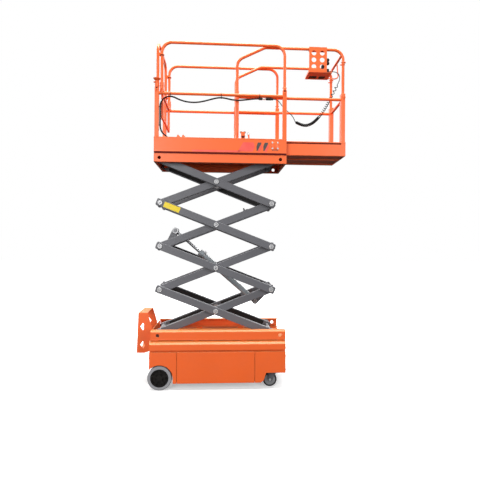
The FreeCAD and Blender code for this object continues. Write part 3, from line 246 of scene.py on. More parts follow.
def rubber(name, colour, roughness=0.72, dust_and_top_highlight=(150, 146, 138)):
    """Solid rubber: mould bloom, dust that settles in patches, fine grain."""
    tyre = Finish(name, colour, Roughness=roughness, Specular_IOR_Level=0.2)
    bloom = tyre.noise(12.0, 4.0, 0.6).above(0.35, 0.75)
    grain = tyre.noise(260.0, 3.0, 0.6)
    tyre.feed(Base_Color=tyre.mix(bloom * 0.3 + grain * 0.12, colour, srgb(*dust_and_top_highlight)))
    tyre.feed(Roughness=roughness + bloom * 0.14)
    bend, rounded = tyre.edges(0.002)
    tyre.bump(grain + bend * 0.1, 0.3, 0.0006, rounded)
    return tyre.material


def plastic(name, colour, roughness=0.5):
    """Moulded plastic with a fine spark-eroded grain."""
    shell = Finish(name, colour, Roughness=roughness, Specular_IOR_Level=0.22)
    grain = shell.noise(520.0, 2.0, 0.6)
    rub = shell.noise(24.0, 4.0, 0.6).above(0.5, 0.75)
    light = shaded(colour, 1.3, 0.008)
    shell.feed(Base_Color=shell.mix(rub * 0.35, colour, light), Roughness=roughness + rub * 0.2)
    bend, rounded = shell.edges(0.001)
    shell.bump(grain + bend * 0.1, 0.25, 0.0003, rounded)
    return shell.material


def sticker(name, colour, faded):
    """Printed film: one colour that has faded in patches, with a soft sheen."""
    film = Finish(name, colour, Roughness=0.36)
    fade = film.noise(16.0, 4.0, 0.6).above(0.4, 0.75)
    film.feed(Base_Color=film.mix(fade * 0.35, colour, faded), Roughness=0.32 + fade * 0.16)
    film.bump(film.noise(240.0), 0.08, 0.0002)
    return film.material


# The paler colours after each paint's own colour paint highlights: on the edges, along with wear, and on
# faces that point up
ORANGE = powder_coat("orange_powder_coat", srgb(243, 102, 38), srgb(255, 168, 112),
                     edge=0.005, dust_and_top_highlight=srgb(255, 168, 84))
GREY = powder_coat("grey_arm_paint", srgb(94, 94, 99), srgb(190, 190, 194), 0.8, 0.46, 0.011)
BARREL_GREY = powder_coat("pale_barrel_paint", srgb(132, 139, 144), srgb(200, 204, 206), roughness=0.4)
ZINC = plated("zinc_plate", srgb(172, 172, 174))
CHROME = chrome("hard_chrome")
GREY_TYRE = rubber("grey_solid_tyre", srgb(150, 150, 155))
DARK_TYRE = rubber("dark_solid_tyre", srgb(40, 38, 41), dust_and_top_highlight=(74, 70, 68))
HUB_BLACK = rubber("black_hub_paint", srgb(20, 18, 17), 0.7, dust_and_top_highlight=(46, 40, 35))
BLACK = plastic("black_moulding", srgb(26, 26, 28))
SHEATH = plastic("cable_sheath", srgb(16, 16, 18))
DULL = plated("dull_steel", srgb(128, 128, 130), 0.45)
PALE_ZINC = plated("bright_zinc", srgb(206, 206, 206), 0.42)
YELLOW = sticker("yellow_film", srgb(230, 202, 8), srgb(214, 188, 24))
RED = sticker("red_film", srgb(233, 84, 74), srgb(240, 110, 90))
CHARCOAL = sticker("charcoal_film", srgb(72, 66, 66), srgb(96, 88, 86))
# Dark red of orange paint in shade: painted shade for gaps and undersides
SHADE_RED = plastic("painted_shade_red", srgb(86, 4, 0), 0.7)
SOOT = plastic("black_cover", srgb(22, 20, 20), 0.55)

FINISHES = {
    "orange_paint": ORANGE, "grey_paint": GREY, "zinc": ZINC, "chrome": CHROME,
    "grey_tyre": GREY_TYRE, "dark_tyre": DARK_TYRE, "black_plastic": BLACK, "cable_jacket": SHEATH,
}
SLOTS = {part["node"]: part["material_slot"] for part in frame["record"]["subparts"]}
for node_name, node_object in NODES.items():
    node_object.data.materials.clear()
    node_object.data.materials.append(FINISHES[SLOTS[node_name]])
for side_name in ("left", "right"):
    NODES["drive_hub_" + side_name].data.materials[0] = HUB_BLACK
    NODES["caster_fork_" + side_name].data.materials[0] = GREY
    NODES["caster_rim_" + side_name].data.materials[0] = ZINC
NODES["cylinder_barrel"].data.materials[0] = BARREL_GREY


# Pieces

def new_object(name, data):
    """An object in the scene, at the origin."""
    made = bpy.data.objects.new(name, data)
    bpy.context.scene.collection.objects.link(made)
    return made


def piece(name, mesh, finish, body, slot, smooth=None):
    """An object with one finish that rides on a body, if one is named."""
    mesh.materials.clear()
    mesh.materials.append(finish)
    made = new_object(name, mesh)
    if smooth is not None:
        mesh.shade_smooth()
        mesh.set_sharp_from_angle(angle=math.radians(smooth))
    if body:
        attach(made, body)
    return made


def mesh_from(name, build):
    """A mesh that a function draws into a bmesh."""
    shape = bmesh.new()
    build(shape)
    mesh = bpy.data.meshes.new(name)
    shape.to_mesh(mesh)
    shape.free()
    return mesh


def plain_mesh(holder):
    """The mesh that an object shows, as plain data."""
    shown = holder.evaluated_get(bpy.context.evaluated_depsgraph_get())
    return bpy.data.meshes.new_from_object(shown)


def joined(name, meshes, finish, body, slot, smooth=None):
    """One piece from several meshes."""
    def build(shape):
        for mesh in meshes:
            shape.from_mesh(mesh)
    return piece(name, mesh_from(name, build), finish, body, slot, smooth)


def settle(shape, verts, place):
    """Moves new faces into place, the right way out also where the place mirrors them."""
    verts = list(verts)
    bmesh.ops.transform(shape, matrix=place, verts=verts)
    if place.determinant() < 0:
        faces = list({face for vert in verts for face in vert.link_faces})
        bmesh.ops.reverse_faces(shape, faces=faces)


def slab(shape, outline, depth, place, bevel):
    """A plate from an outline in X and Y, depth along Z, put in place by a matrix."""
    bottom = [shape.verts.new((x, y, 0)) for x, y in outline]
    face = shape.faces.new(bottom)
    raised = bmesh.ops.extrude_face_region(shape, geom=[face])["geom"]
    top = [part for part in raised if isinstance(part, bmesh.types.BMVert)]
    bmesh.ops.translate(shape, verts=top, vec=(0, 0, depth))
    verts = bottom + top
    faces = list({linked for vert in verts for linked in vert.link_faces})
    bmesh.ops.recalc_face_normals(shape, faces=faces)
    if bevel:
        rim = list({edge for vert in verts for edge in vert.link_edges})
        made = bmesh.ops.bevel(shape, geom=rim, offset=bevel, segments=2, profile=0.6, affect="EDGES")
        verts = list({vert for linked in made["faces"] for vert in linked.verts}
                     | {vert for vert in verts if vert.is_valid})
    settle(shape, verts, place)


class Layout:
    """A Geometry Nodes tree with named inputs, written one node at a time."""

    KINDS = {int: "NodeSocketInt", float: "NodeSocketFloat", tuple: "NodeSocketVector"}

    def __init__(self, name, **inputs):
        self.tree = bpy.data.node_groups.new(name, "GeometryNodeTree")
        for label, value in inputs.items():
            socket = self.tree.interface.new_socket(
                label.replace("_", " "), in_out="INPUT", socket_type=self.KINDS[type(value)])
            socket.default_value = value
        self.tree.interface.new_socket("Finish", in_out="INPUT", socket_type="NodeSocketMaterial")
        self.tree.interface.new_socket("Geometry", in_out="OUTPUT", socket_type="NodeSocketGeometry")
        self.given = self.tree.nodes.new("NodeGroupInput").outputs

    def add(self, kind, values=None, **settings):
        """A node of one kind, as its first output; a list of links goes to one socket."""
        node = self.tree.nodes.new(kind)
        for label, value in settings.items():
            setattr(node, label, value)
        for label, value in (values or {}).items():
            parts = value if isinstance(value, list) else [value]
            for part in parts:
                if isinstance(part, bpy.types.NodeSocket):
                    self.tree.links.new(part, node.inputs[label])
                else:
                    node.inputs[label].default_value = part
        return node.outputs[0]

    def row(self, instance):
        """The instance at each point of a straight row."""
        line = self.add("GeometryNodeMeshLine", {
            "Count": self.given["Count"], "Start Location": self.given["Start"], "Offset": self.given["Step"],
        }, mode="OFFSET", count_mode="TOTAL")
        return self.add("GeometryNodeInstanceOnPoints", {
            "Points": line, "Instance": instance, "Rotation": self.given["Facing"],
        })

    def end(self, instances):
        """Realize the instances and give them the finish."""
        real = self.add("GeometryNodeRealizeInstances", {"Geometry": instances})
        dressed = self.add("GeometryNodeSetMaterial", {"Geometry": real, "Material": self.given["Finish"]})
        self.tree.links.new(dressed, self.tree.nodes.new("NodeGroupOutput").inputs[0])
        return self.tree


NOWHERE = (0.0, 0.0, 0.0)
BOLT_SIZES = {"Washer_radius": 0.008, "Washer_height": 0.002, "Head_radius": 0.005, "Head_height": 0.004}


def bolt_shape(layout):
    """A washer with a six-sided head on it, standing along Z."""
    washer_disc = layout.add("GeometryNodeMeshCylinder", {
        "Vertices": 16, "Radius": layout.given["Washer radius"], "Depth": layout.given["Washer height"],
    })
    head = layout.add("GeometryNodeMeshCylinder", {
        "Vertices": 6, "Radius": layout.given["Head radius"], "Depth": layout.given["Head height"],
    })
    lift = layout.add("ShaderNodeMath", {0: layout.given["Head height"], 1: 0.5}, operation="MULTIPLY")
    offset = layout.add("ShaderNodeCombineXYZ", {"Z": lift})
    raised = layout.add("GeometryNodeTransform", {"Geometry": head, "Translation": offset})
    return layout.add("GeometryNodeJoinGeometry", {"Geometry": [washer_disc, raised]})


def bolt_row_tree():
    """Bolts in a straight row."""
    layout = Layout("bolt_row", Count=2, Start=NOWHERE, Step=(0.1, 0.0, 0.0), Facing=NOWHERE, **BOLT_SIZES)
    return layout.end(layout.row(bolt_shape(layout)))


def rib_tree():
    """Flat ribs in a straight row."""
    layout = Layout("ribs", Count=20, Start=NOWHERE, Step=(0.03, 0.0, 0.0), Facing=NOWHERE,
                    Size=(0.02, 0.004, 0.04))
    return layout.end(layout.row(layout.add("GeometryNodeMeshCube", {"Size": layout.given["Size"]})))


def bolt_ring_tree():
    """Bolts round a circle that faces along its own Z, turned and moved into place."""
    layout = Layout("bolt_ring", Count=6, Ring_radius=0.05, Centre=NOWHERE, Facing=NOWHERE, **BOLT_SIZES)
    circle = layout.add("GeometryNodeMeshCircle", {
        "Vertices": layout.given["Count"], "Radius": layout.given["Ring radius"],
    })
    placed = layout.add("GeometryNodeInstanceOnPoints", {
        "Points": circle, "Instance": bolt_shape(layout),
    })
    turned_ring = layout.add("GeometryNodeTransform", {
        "Geometry": placed, "Translation": layout.given["Centre"], "Rotation": layout.given["Facing"],
    })
    return layout.end(turned_ring)


def tread_tree():
    """Raised lugs on a floor plate, each turned a quarter from its neighbours."""
    layout = Layout("tread", Across=9, Along=9, Size=(1.0, 0.5, 0.0), Centre=NOWHERE,
                    Lug_length=0.011, Lug_width=0.0035, Lug_height=0.0012)
    size = layout.add("ShaderNodeSeparateXYZ", {0: layout.given["Size"]})
    grid = layout.add("GeometryNodeMeshGrid", {
        "Size X": size, "Size Y": size.node.outputs[1],
        "Vertices X": layout.given["Along"], "Vertices Y": layout.given["Across"],
    })
    ball = layout.add("GeometryNodeMeshUVSphere", {"Segments": 8, "Rings": 4, "Radius": 1.0})
    lug_size = layout.add("ShaderNodeCombineXYZ", {
        "X": layout.given["Lug length"], "Y": layout.given["Lug width"], "Z": layout.given["Lug height"],
    })
    lug = layout.add("GeometryNodeTransform", {"Geometry": ball, "Scale": lug_size})
    index = layout.add("GeometryNodeInputIndex")
    odd = layout.add("ShaderNodeMath", {0: index, 1: 2.0}, operation="MODULO")
    quarter = layout.add("ShaderNodeMath", {0: odd, 1: math.pi / 2, 2: math.pi / 4}, operation="MULTIPLY_ADD")
    turn = layout.add("ShaderNodeCombineXYZ", {"Z": quarter})
    placed = layout.add("GeometryNodeInstanceOnPoints", {
        "Points": grid, "Instance": lug, "Rotation": turn,
    })
    moved = layout.add("GeometryNodeTransform", {
        "Geometry": placed, "Translation": layout.given["Centre"],
    })
    return layout.end(moved)


BOLT_ROW = bolt_row_tree()
BOLT_RING = bolt_ring_tree()
TREAD = tread_tree()
RIBS = rib_tree()


def laid_out(name, tree, finish, **inputs):
    """The plain mesh that a tree gives for these inputs."""
    holder = new_object(name, bpy.data.meshes.new(name))
    modifier = holder.modifiers.new("layout", "NODES")
    modifier.node_group = tree
    inputs = {label.replace("_", " "): value for label, value in inputs.items()}
    for item in tree.interface.items_tree:
        if item.in_out == "INPUT":
            value = finish if item.name == "Finish" else inputs.get(item.name, item.default_value)
            modifier[item.identifier] = value
    mesh = plain_mesh(holder)
    holder.modifiers.remove(modifier)
    bpy.data.objects.remove(holder)
    return mesh


# Cables

def cord_curve(name, points, radius):
    """A smooth tube through a route's control points."""
    curve = bpy.data.curves.new(name, "CURVE")
    curve.dimensions = "3D"
    curve.bevel_depth = radius
    curve.bevel_resolution = 3
    curve.resolution_u = 6
    curve.use_fill_caps = True
    spline = curve.splines.new("NURBS")
    spline.points.add(len(points) - 1)
    for slot, point in zip(spline.points, points):
        slot.co = (*point, 1.0)
    spline.order_u = 3
    spline.use_endpoint_u = True
    return new_object(name, curve)


def line_of(curve_object):
    """The points that a curve's own line passes through."""
    curve_object.data.bevel_depth, kept = 0.0, curve_object.data.bevel_depth
    bpy.context.view_layer.update()
    mesh = plain_mesh(curve_object)
    points = [vert.co.copy() for vert in mesh.vertices]
    curve_object.data.bevel_depth = kept
    bpy.data.meshes.remove(mesh)
    return points


def bar_mesh(points, radius, bends=2):
    """A round bar along its control points, as a plain mesh."""
    curve = cord_curve("bar", points, radius)
    curve.data.bevel_resolution = bends
    mesh = plain_mesh(curve)
    bpy.data.objects.remove(curve)
    return mesh


# Control points in millimetres, in X and Z, and the lead's in X, Y and Z
RAIL_CABLE = [
    (150, 12), (150, 66), (138, 114), (104, 146), (67, 178), (51.5, 222), (51, 262), (51.5, 322),
    (51, 380), (51.5, 430), (74, 473), (115, 497), (163, 497), (222, 468), (290, 451), (360, 448),
    (430, 460), (500, 481), (562, 497), (616, 496), (680, 481), (750, 477), (826, 487), (900, 497),
    (960, 496), (1018, 496),
]
LEAD = [
    (34, 0, 0), (70, 0, 0), (98, 18, -26), (130, 42, -60), (164, 58, -84), (198, 74, -106),
    (228, 80, -136), (246, 80, -178),
]
COIL = [(0, 0), (70, -38), (150, -20), (222, 48), (286, 146), (338, 250), (388, 348)]
UPPER_LEAD = [(0, 0), (20, 38), (26, 78), (6, 112), (-30, 122), (-56, 121), (-82, 121)]
MM = 0.001

cable_points = [(PLATFORM_REAR + x * MM, -POST_LINE, DECK_TOP + z * MM) for x, z in RAIL_CABLE]
cable_end = Vector(cable_points[-1])
lead_points = [cable_end + Vector(step) * MM for step in LEAD]
coil_points = [lead_points[-1] + Vector((x, 0, z)) * MM for x, z in COIL]
upper_points = [coil_points[-1] + Vector((x, 0, z)) * MM for x, z in UPPER_LEAD]

# The winding: its radius, how fast it grows at the ends, and its pitch in three stretches
COIL_WIND_RADIUS = 0.0112
COIL_TAPER = 0.012
END_SHARE = 0.05
CLOSE_PITCH = 0.0078
MIDDLE_PITCH = 0.0205
OPEN_PITCH = 0.036
MIDDLE_FROM, MIDDLE_OVER = 0.40, 0.06
OPEN_FROM, OPEN_OVER = 0.70, 0.10
TURN_STEPS = 12


def curly(route_points):
    """Control points of the winding about a route: close turns that open towards its top."""
    guide = cord_curve("coil_guide", route_points, 0.001)
    line = line_of(guide)
    bpy.data.objects.remove(guide)
    lengths = [0.0]
    for before, after in zip(line, line[1:]):
        lengths.append(lengths[-1] + (after - before).length)
    total = lengths[-1]
    side = Vector((0, 1, 0))
    points, along, angle, place = [], 0.0, 0.0, 0
    while along < total:
        while place < len(line) - 2 and lengths[place + 1] < along:
            place += 1
        run = line[place + 1] - line[place]
        middle = line[place] + run * ((along - lengths[place]) / run.length)
        up = run.normalized().cross(side)
        radius = COIL_WIND_RADIUS * min(1.0, along / COIL_TAPER, (total - along) / COIL_TAPER + END_SHARE)
        points.append(middle + (up * math.cos(angle) + side * math.sin(angle)) * radius)
        share = along / total
        loosened = min(1.0, max(0.0, (share - MIDDLE_FROM) / MIDDLE_OVER))
        opened = min(1.0, max(0.0, (share - OPEN_FROM) / OPEN_OVER))
        pitch = CLOSE_PITCH + (MIDDLE_PITCH - CLOSE_PITCH) * loosened + (OPEN_PITCH - MIDDLE_PITCH) * opened
        along += pitch / TURN_STEPS
        angle += 2 * math.pi / TURN_STEPS
    return points


rail_cable = cord_curve("rail_cable_sheath", cable_points, 0.007)
rail_cable.data.materials.append(SHEATH)
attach(rail_cable, "platform")
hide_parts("rail_cable")

cord_route = lead_points[:-1] + curly(coil_points) + upper_points[1:]
cord_guide = cord_curve("control_cord_guide", cord_route, 0.0035)
cord_guide.data.bevel_resolution = 2
cord_guide.data.resolution_u = 2
cord_path = line_of(cord_guide)
cord_mesh = plain_mesh(cord_guide)
bpy.data.objects.remove(cord_guide)
control_cord = piece("control_cord", cord_mesh, SHEATH, None, "cable_jacket", 60)
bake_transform(control_cord)
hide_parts("control_lead", "control_coil", "controller_lead")


# Small parts: side -1 is the near side of the machine, and side 1 the far one
SIDES = (-1, 1)
NEAR_SIDE = (-1,)
FAR_SIDE = (1,)

# Turns that lay Z outward on each side, towards the front and towards the rear
FACING = {-1: (math.pi / 2, 0.0, 0.0), 1: (-math.pi / 2, 0.0, 0.0)}
AXLE = Matrix.Rotation(math.pi / 2, 4, "Y")
BACK_AXLE = Matrix.Rotation(-math.pi / 2, 4, "Y")

# The finish, the body and the slot that several pieces share
PLATFORM_PAINT = (ORANGE, "platform", "orange_paint")
PLATFORM_SHADE = (SHADE_RED, "platform", "black_plastic")
EXTENSION_PAINT = (ORANGE, "extension", "orange_paint")


def at(x, y, z):
    """A place with no turn."""
    return Matrix.Translation((x, y, z))


def onto(side, x=0.0, z=0.0, y=0.0):
    """Lays X and Y of an outline as X and Z on an upright side face, with its depth outward."""
    return Matrix(((1, 0, 0, x), (0, 0, side, side * y), (0, 1, 0, z), (0, 0, 0, 1)))


def on_sides(spots, y):
    """Places on both side faces at this distance from the middle, for spots in X and Z."""
    return [onto(side, x, z, y) for x, z in spots for side in SIDES]


def on_posts(xs, line, heights):
    """Upright places on both sides of the machine, at each X and each height."""
    return [at(x, y, z) for x in xs for y in (-line, line) for z in heights]


def along_arm(stage, distance, above, leans_left):
    """A point beside an arm's middle line, so far from its left end; X and Z."""
    angle = -REST_ANGLE if leans_left else REST_ANGLE
    start = PIVOT_Z + (stage if leans_left else stage - 1) * RISE
    return (PIVOT_X + distance * math.cos(angle) - above * math.sin(angle),
            start + distance * math.sin(angle) + above * math.cos(angle))


def arm_outline(stage, start, end, low, high, leans_left=True):
    """A strip along an arm, as corners in X and Z."""
    return [along_arm(stage, *corner, leans_left)
            for corner in ((start, low), (end, low), (end, high), (start, high))]


def oblong(low, high, bottom, top):
    """The corners of a rectangle."""
    return [(low, bottom), (high, bottom), (high, top), (low, top)]


def washer(inner, outer, thick):
    """The closed profile of a ring with a rounded rim."""
    edge = thick * 0.3
    return [(inner, 0), (outer, 0), (outer, thick - edge), (outer - edge, thick),
            (inner + edge, thick), (inner, thick - edge)]


def stud(radius, height):
    """The profile of a round head with a soft edge."""
    edge = min(radius, height) * 0.35
    return [(0, 0), (radius, 0), (radius, height - edge), (radius - edge, height), (0, height)]


def hoop(radius, wire, sides=8):
    """The closed profile of a round wire bent to a ring."""
    angles = [2 * math.pi * step / sides for step in range(sides)]
    return [(radius + wire * math.cos(angle), wire * math.sin(angle)) for angle in angles]


def rings(profile, places):
    """Rings of one closed profile, for a turned piece."""
    return [(profile, place, True) for place in places]


def solids(profile, places):
    """Turned solids of one profile, for a turned piece."""
    return [(profile, place, False) for place in places]


def plates(outlines, depth, y, sides=SIDES):
    """Plates on the side faces at this distance from the middle, for a piece of slabs."""
    return [(outline, depth, onto(side, y=y)) for outline in outlines for side in sides]


def turned(shape, profile, place, closed, steps):
    """A solid turned about Z from the corners of its profile, each a radius and a height."""
    poles = {}
    columns = []
    for step in range(steps):
        angle = 2 * math.pi * step / steps
        column = []
        for index, (radius, height) in enumerate(profile):
            if radius == 0:
                if index not in poles:
                    poles[index] = shape.verts.new((0, 0, height))
                column.append(poles[index])
            else:
                column.append(shape.verts.new((radius * math.cos(angle), radius * math.sin(angle), height)))
        columns.append(column)
    runs = list(zip(range(len(profile)), range(1, len(profile))))
    if closed:
        runs.append((len(profile) - 1, 0))
    made = []
    for step, column in enumerate(columns):
        beside = columns[(step + 1) % steps]
        for low, high in runs:
            corners = []
            for vert in (column[low], beside[low], beside[high], column[high]):
                if vert not in corners:
                    corners.append(vert)
            made.append(shape.faces.new(corners))
    bmesh.ops.recalc_face_normals(shape, faces=made)
    settle(shape, {vert for face in made for vert in face.verts}, place)


def turned_piece(name, parts, finish, body, slot, steps=24):
    """One piece of several turned solids, each a profile, a place and whether it is a ring."""
    def build(shape):
        for part in parts:
            turned(shape, *part, steps)
    return piece(name, mesh_from(name, build), finish, body, slot, 35)


def slab_piece(name, parts, finish, body, slot, bevel=0.0):
    """One piece of several plates, each an outline, a depth and a place."""
    def build(shape):
        for part in parts:
            slab(shape, *part, bevel)
    return piece(name, mesh_from(name, build), finish, body, slot, 35)


# Pins of the scissor: a bright raised rim, a duller face, a small middle and a grease nipple

HEAD_FACE = ARM_FACE + 0.007
NIPPLE = [(0, 0), (0.0040, 0), (0.0040, 0.005), (0.0024, 0.008), (0, 0.008)]
for stage in range(1, STAGES + 1):
    places = [(PIVOT_X + SPAN / 2, PIVOT_Z + (stage - 0.5) * RISE)]
    if stage > 1:
        places.append((PIVOT_X + SPAN, PIVOT_Z + (stage - 1) * RISE))
    if stage < STAGES:
        places.append((PIVOT_X, PIVOT_Z + stage * RISE))
    spots = on_sides(places, HEAD_FACE)
    body = f"outer_{stage}"
    turned_piece(f"pin_rims_{stage}", rings(washer(0.0148, 0.0212, 0.0042), spots), PALE_ZINC, body, "zinc")
    turned_piece(f"pin_faces_{stage}", solids(stud(0.0149, 0.0022), spots), ZINC, body, "zinc")
    middles = solids(stud(0.0082, 0.0034), spots) + solids(NIPPLE, spots)
    turned_piece(f"pin_middles_{stage}", middles, ZINC, body, "zinc")

# Eyes of the cylinder: the arm frame, the distances along its middle line and above it, and the radius
EYES = (("upper", 3, 0.163, 0.092, 0.0285), ("lower", 1, 0.906, -0.070, 0.0175))
EYE_FACE = 0.0475
eyes = []
for name, stage, distance, above, reach in EYES:
    x, z = along_arm(stage, distance, above, False)
    eyes.append(Vector((x, 0, z)))
    spots = on_sides([(x, z)], EYE_FACE)
    body = f"inner_{stage}"
    turned_piece(name + "_eye_rims", rings(washer(reach * 0.6, reach, 0.004), spots), ZINC, body, "zinc")
    turned_piece(name + "_eye_caps", solids(stud(reach * 0.61, 0.002), spots), DULL, body, "zinc")


# Cylinder: two collars round the head of the barrel, and the hose's connection on its upper side

head, foot = eyes
axis = (head - foot).normalized()
across = Vector((axis.z, 0, -axis.x))


def on_barrel(along):
    """Z along the cylinder from its foot, X on its upper right side."""
    place = foot + axis * along
    return Matrix(((across.x, 0, axis.x, place.x), (across.y, 1, axis.y, place.y),
                   (across.z, 0, axis.z, place.z), (0, 0, 0, 1)))


collars = rings(washer(0.0268, 0.0310, 0.0160), [on_barrel(0.680)])
collars += rings(washer(0.0268, 0.0300, 0.0080), [on_barrel(0.640)])
turned_piece("barrel_collars", collars, ZINC, "barrel", "grey_paint")
fitting = on_barrel(0.655) @ at(0.0250, -0.0110, -0.0130)
slab_piece("barrel_fitting", [(oblong(0.0, 0.0180, 0.0, 0.0220), 0.0260, fitting)],
           ZINC, "barrel", "zinc", 0.002)


# Scissor arms: the blank yellow label with its dark edge lines, and the clip

FILM = 0.0005
LABEL = arm_outline(3, 0.0375, 0.187, -0.026, 0.026)
slab_piece("arm_label", plates([LABEL], FILM, ARM_FACE, NEAR_SIDE), YELLOW, "outer_3", "black_plastic")
edges = [arm_outline(3, 0.039, 0.1855, low, high) for low, high in ((-0.0250, -0.0238), (0.0238, 0.0250))]
slab_piece("arm_label_lines", plates(edges, 0.0004, ARM_FACE + FILM, NEAR_SIDE),
           CHARCOAL, "outer_3", "black_plastic")
clip = [arm_outline(3, 0.815, 0.860, 0.033, 0.0375, False),
        arm_outline(3, 0.820, 0.832, 0.0375, 0.056, False)]
slab_piece("arm_clip", plates(clip, 0.020, 0.160, NEAR_SIDE), BLACK, "inner_3", "black_plastic", 0.0012)


# Black covers over the cables on the inner faces of the far arms, clear of the pins

COVER_RUNS = ((0.040, ARM_LENGTH / 2 - 0.032), (ARM_LENGTH / 2 + 0.032, ARM_LENGTH - 0.040))
LOW_COVER_RUNS = ((0.060, 0.480), (0.590, 0.800))
FAR_OUTER_FACE = 0.200
FAR_INNER_FACE = 0.150
for stage in range(1, STAGES + 1):
    strips = [arm_outline(stage, start, end, -0.026, 0.026) for start, end in COVER_RUNS]
    slab_piece(f"cable_cover_{stage}", plates(strips, 0.0030, FAR_OUTER_FACE - 0.0032, FAR_SIDE),
               SOOT, f"outer_{stage}", "black_plastic")
strips = [arm_outline(1, start, end, -0.018, 0.024, False) for start, end in LOW_COVER_RUNS]
slab_piece("low_cable_cover", plates(strips, 0.0060, FAR_INNER_FACE - 0.0062, FAR_SIDE),
           SOOT, "inner_1", "black_plastic", 0.0015)

RIB_PITCH = 0.034
RIB_LEAN = 0.45
RIB_SIZE = (0.009, 0.0022, 0.046)
rib_rows = []
for start, end in COVER_RUNS:
    first = along_arm(2, start + 0.014, 0.0, True)
    step = Vector((math.cos(REST_ANGLE), 0, -math.sin(REST_ANGLE))) * RIB_PITCH
    rib_rows.append(laid_out("ribs", RIBS, DULL, Count=int((end - start) / RIB_PITCH), Step=tuple(step),
                             Start=(first[0], FAR_OUTER_FACE - 0.0042, first[1]),
                             Facing=(0.0, REST_ANGLE - RIB_LEAN, 0.0), Size=RIB_SIZE))
joined("cable_cover_ribs", rib_rows, DULL, "outer_2", "zinc")


# Toe boards: decals, bolted plates and folded lips

TOE_FACE = 0.322
EXTENSION_TOE_FACE = 0.274
STRIPE = oblong(-0.446, -0.023, 2.0915, 2.1055)
PANEL = [(-0.043, 2.0985), (0.090, 2.0985), (0.108, 2.1400), (0.098, 2.1805), (0.006, 2.1805)]
SLANT = [(0.002, 2.106), (0.012, 2.106), (0.044, 2.170), (0.044, 2.181), (0.014, 2.181), (0.002, 2.150)]
TAIL = [(0.012, 2.098), (0.030, 2.098), (0.052, 2.146), (0.046, 2.166)]
SLANT_STARTS = (0.122, 0.183)
TOE_PLATE = oblong(0.258, 0.322, 2.122, 2.190)
PLATE_SLOT = oblong(0.262, 0.318, 2.1125, 2.1170)
slants = [[(start + x, z) for x, z in SLANT] for start in SLANT_STARTS]
tails = [[(start + x, z) for x, z in TAIL] for start in SLANT_STARTS]
for name, outlines, finish in (
        ("toe_stripe", [STRIPE, PANEL], RED), ("toe_slants", slants, CHARCOAL), ("toe_tails", tails, RED)):
    slab_piece(name, plates(outlines, FILM, TOE_FACE), finish, "platform", "black_plastic")

slab_piece("toe_plate", plates([TOE_PLATE], 0.0022, TOE_FACE), *PLATFORM_PAINT, 0.0008)
slab_piece("toe_plate_slot", plates([PLATE_SLOT], 0.0008, TOE_FACE), CHARCOAL, "platform", "black_plastic")
plate_bolts = [
    laid_out("bolts", BOLT_ROW, PALE_ZINC, Count=2, Start=(0.266, side * (TOE_FACE + 0.0025), z),
             Step=(0.048, 0.0, 0.0), Facing=FACING[side], Washer_radius=0.0078, Washer_height=0.0016,
             Head_radius=0.0052, Head_height=0.0034)
    for side in SIDES for z in (2.130, 2.182)
]
joined("toe_plate_bolts", plate_bolts, PALE_ZINC, "platform", "zinc")

TOE_TOP = SKIRT_TOP + 0.143
EXTENSION_TOE_TOP = DECK_TOP + 0.126
LIP_RADIUS = 0.0034
LIP_INSET = 0.0014
FRONT_LIP_X = EXTENSION_FRONT - LIP_INSET
FRONT_LIP_END = 0.272


def side_edges(rear, front, line, height):
    """The two ends of a straight edge, on both sides of the machine."""
    return [((rear, y, height), (front, y, height)) for y in (-line, line)]


def lip(name, lines, body):
    """Folded edges along the top of toe boards, each through its two ends."""
    meshes = []
    for start, end in lines:
        middle = tuple((a + b) / 2 for a, b in zip(start, end))
        meshes.append(bar_mesh([start, middle, end], LIP_RADIUS))
    joined(name, meshes, ORANGE, body, "orange_paint", 40)


lip("platform_lip", side_edges(PLATFORM_REAR, PLATFORM_FRONT, TOE_FACE - LIP_INSET, TOE_TOP), "platform")
edges = side_edges(EXTENSION_REAR, EXTENSION_FRONT, EXTENSION_TOE_FACE - LIP_INSET, EXTENSION_TOE_TOP)
front_edge = [(FRONT_LIP_X, y, EXTENSION_TOE_TOP) for y in (-FRONT_LIP_END, FRONT_LIP_END)]
lip("extension_lip", edges + [front_edge], "extension")


# Deck treads, clear of the strips that the roll-out deck's ribs run on

TREAD_STEP = 0.0235


def tread(name, across, along, centres, body):
    """A field of raised lugs about each centre."""
    size = ((along - 1) * TREAD_STEP, (across - 1) * TREAD_STEP, 0.0)
    fields = [laid_out("lugs", TREAD, ORANGE, Across=across, Along=along, Size=size, Centre=centre,
                       Lug_length=0.0098, Lug_width=0.0032, Lug_height=0.0013) for centre in centres]
    joined(name, fields, ORANGE, body, "orange_paint", 40)


platform_middle = (PLATFORM_REAR + PLATFORM_FRONT) / 2
extension_middle = (EXTENSION_REAR + EXTENSION_FRONT) / 2
tread("platform_tread", 7, 46, [(platform_middle, side * 0.136, DECK_TOP) for side in SIDES], "platform")
tread("extension_tread", 20, 38, [(extension_middle, 0.0, ROLL_OUT_TOP)], "extension")


# Guard rails: socket beads, lock pins with their pull rings, collars and knobs, clamps and latches

COLLAR_BORE = 0.0136
SIDE_LEG_X = PLATFORM_REAR + 0.066
FRONT_POST_X = PLATFORM_FRONT - 0.018
REAR_POST_X = PLATFORM_REAR + 0.022
POST_XS = (REAR_POST_X, FRONT_POST_X)
MID_RAIL_Z = SKIRT_TOP + 0.534
POST_HEAD = SKIRT_TOP + 0.584
PIN_FACE = POST_LINE + 0.018
EXTENSION_LINE = POST_LINE - 0.048
EXTENSION_POST_X = EXTENSION_FRONT - 0.022
BEAD_HEIGHTS = (MID_RAIL_Z + 0.016, MID_RAIL_Z + 0.064)
CLAMP_HEIGHTS = (2.942, 2.686, 2.655)
UPPER_SHADE_Z = 2.932
LOWER_SHADE_Z = 2.666
CLIP_HEIGHTS = (2.922, 2.944)
COLLAR = washer(COLLAR_BORE, 0.0165, 0.005)

beads = rings(hoop(0.0178, 0.0030), on_posts([SIDE_LEG_X], POST_LINE, BEAD_HEIGHTS))
turned_piece("socket_beads", beads, *PLATFORM_PAINT)

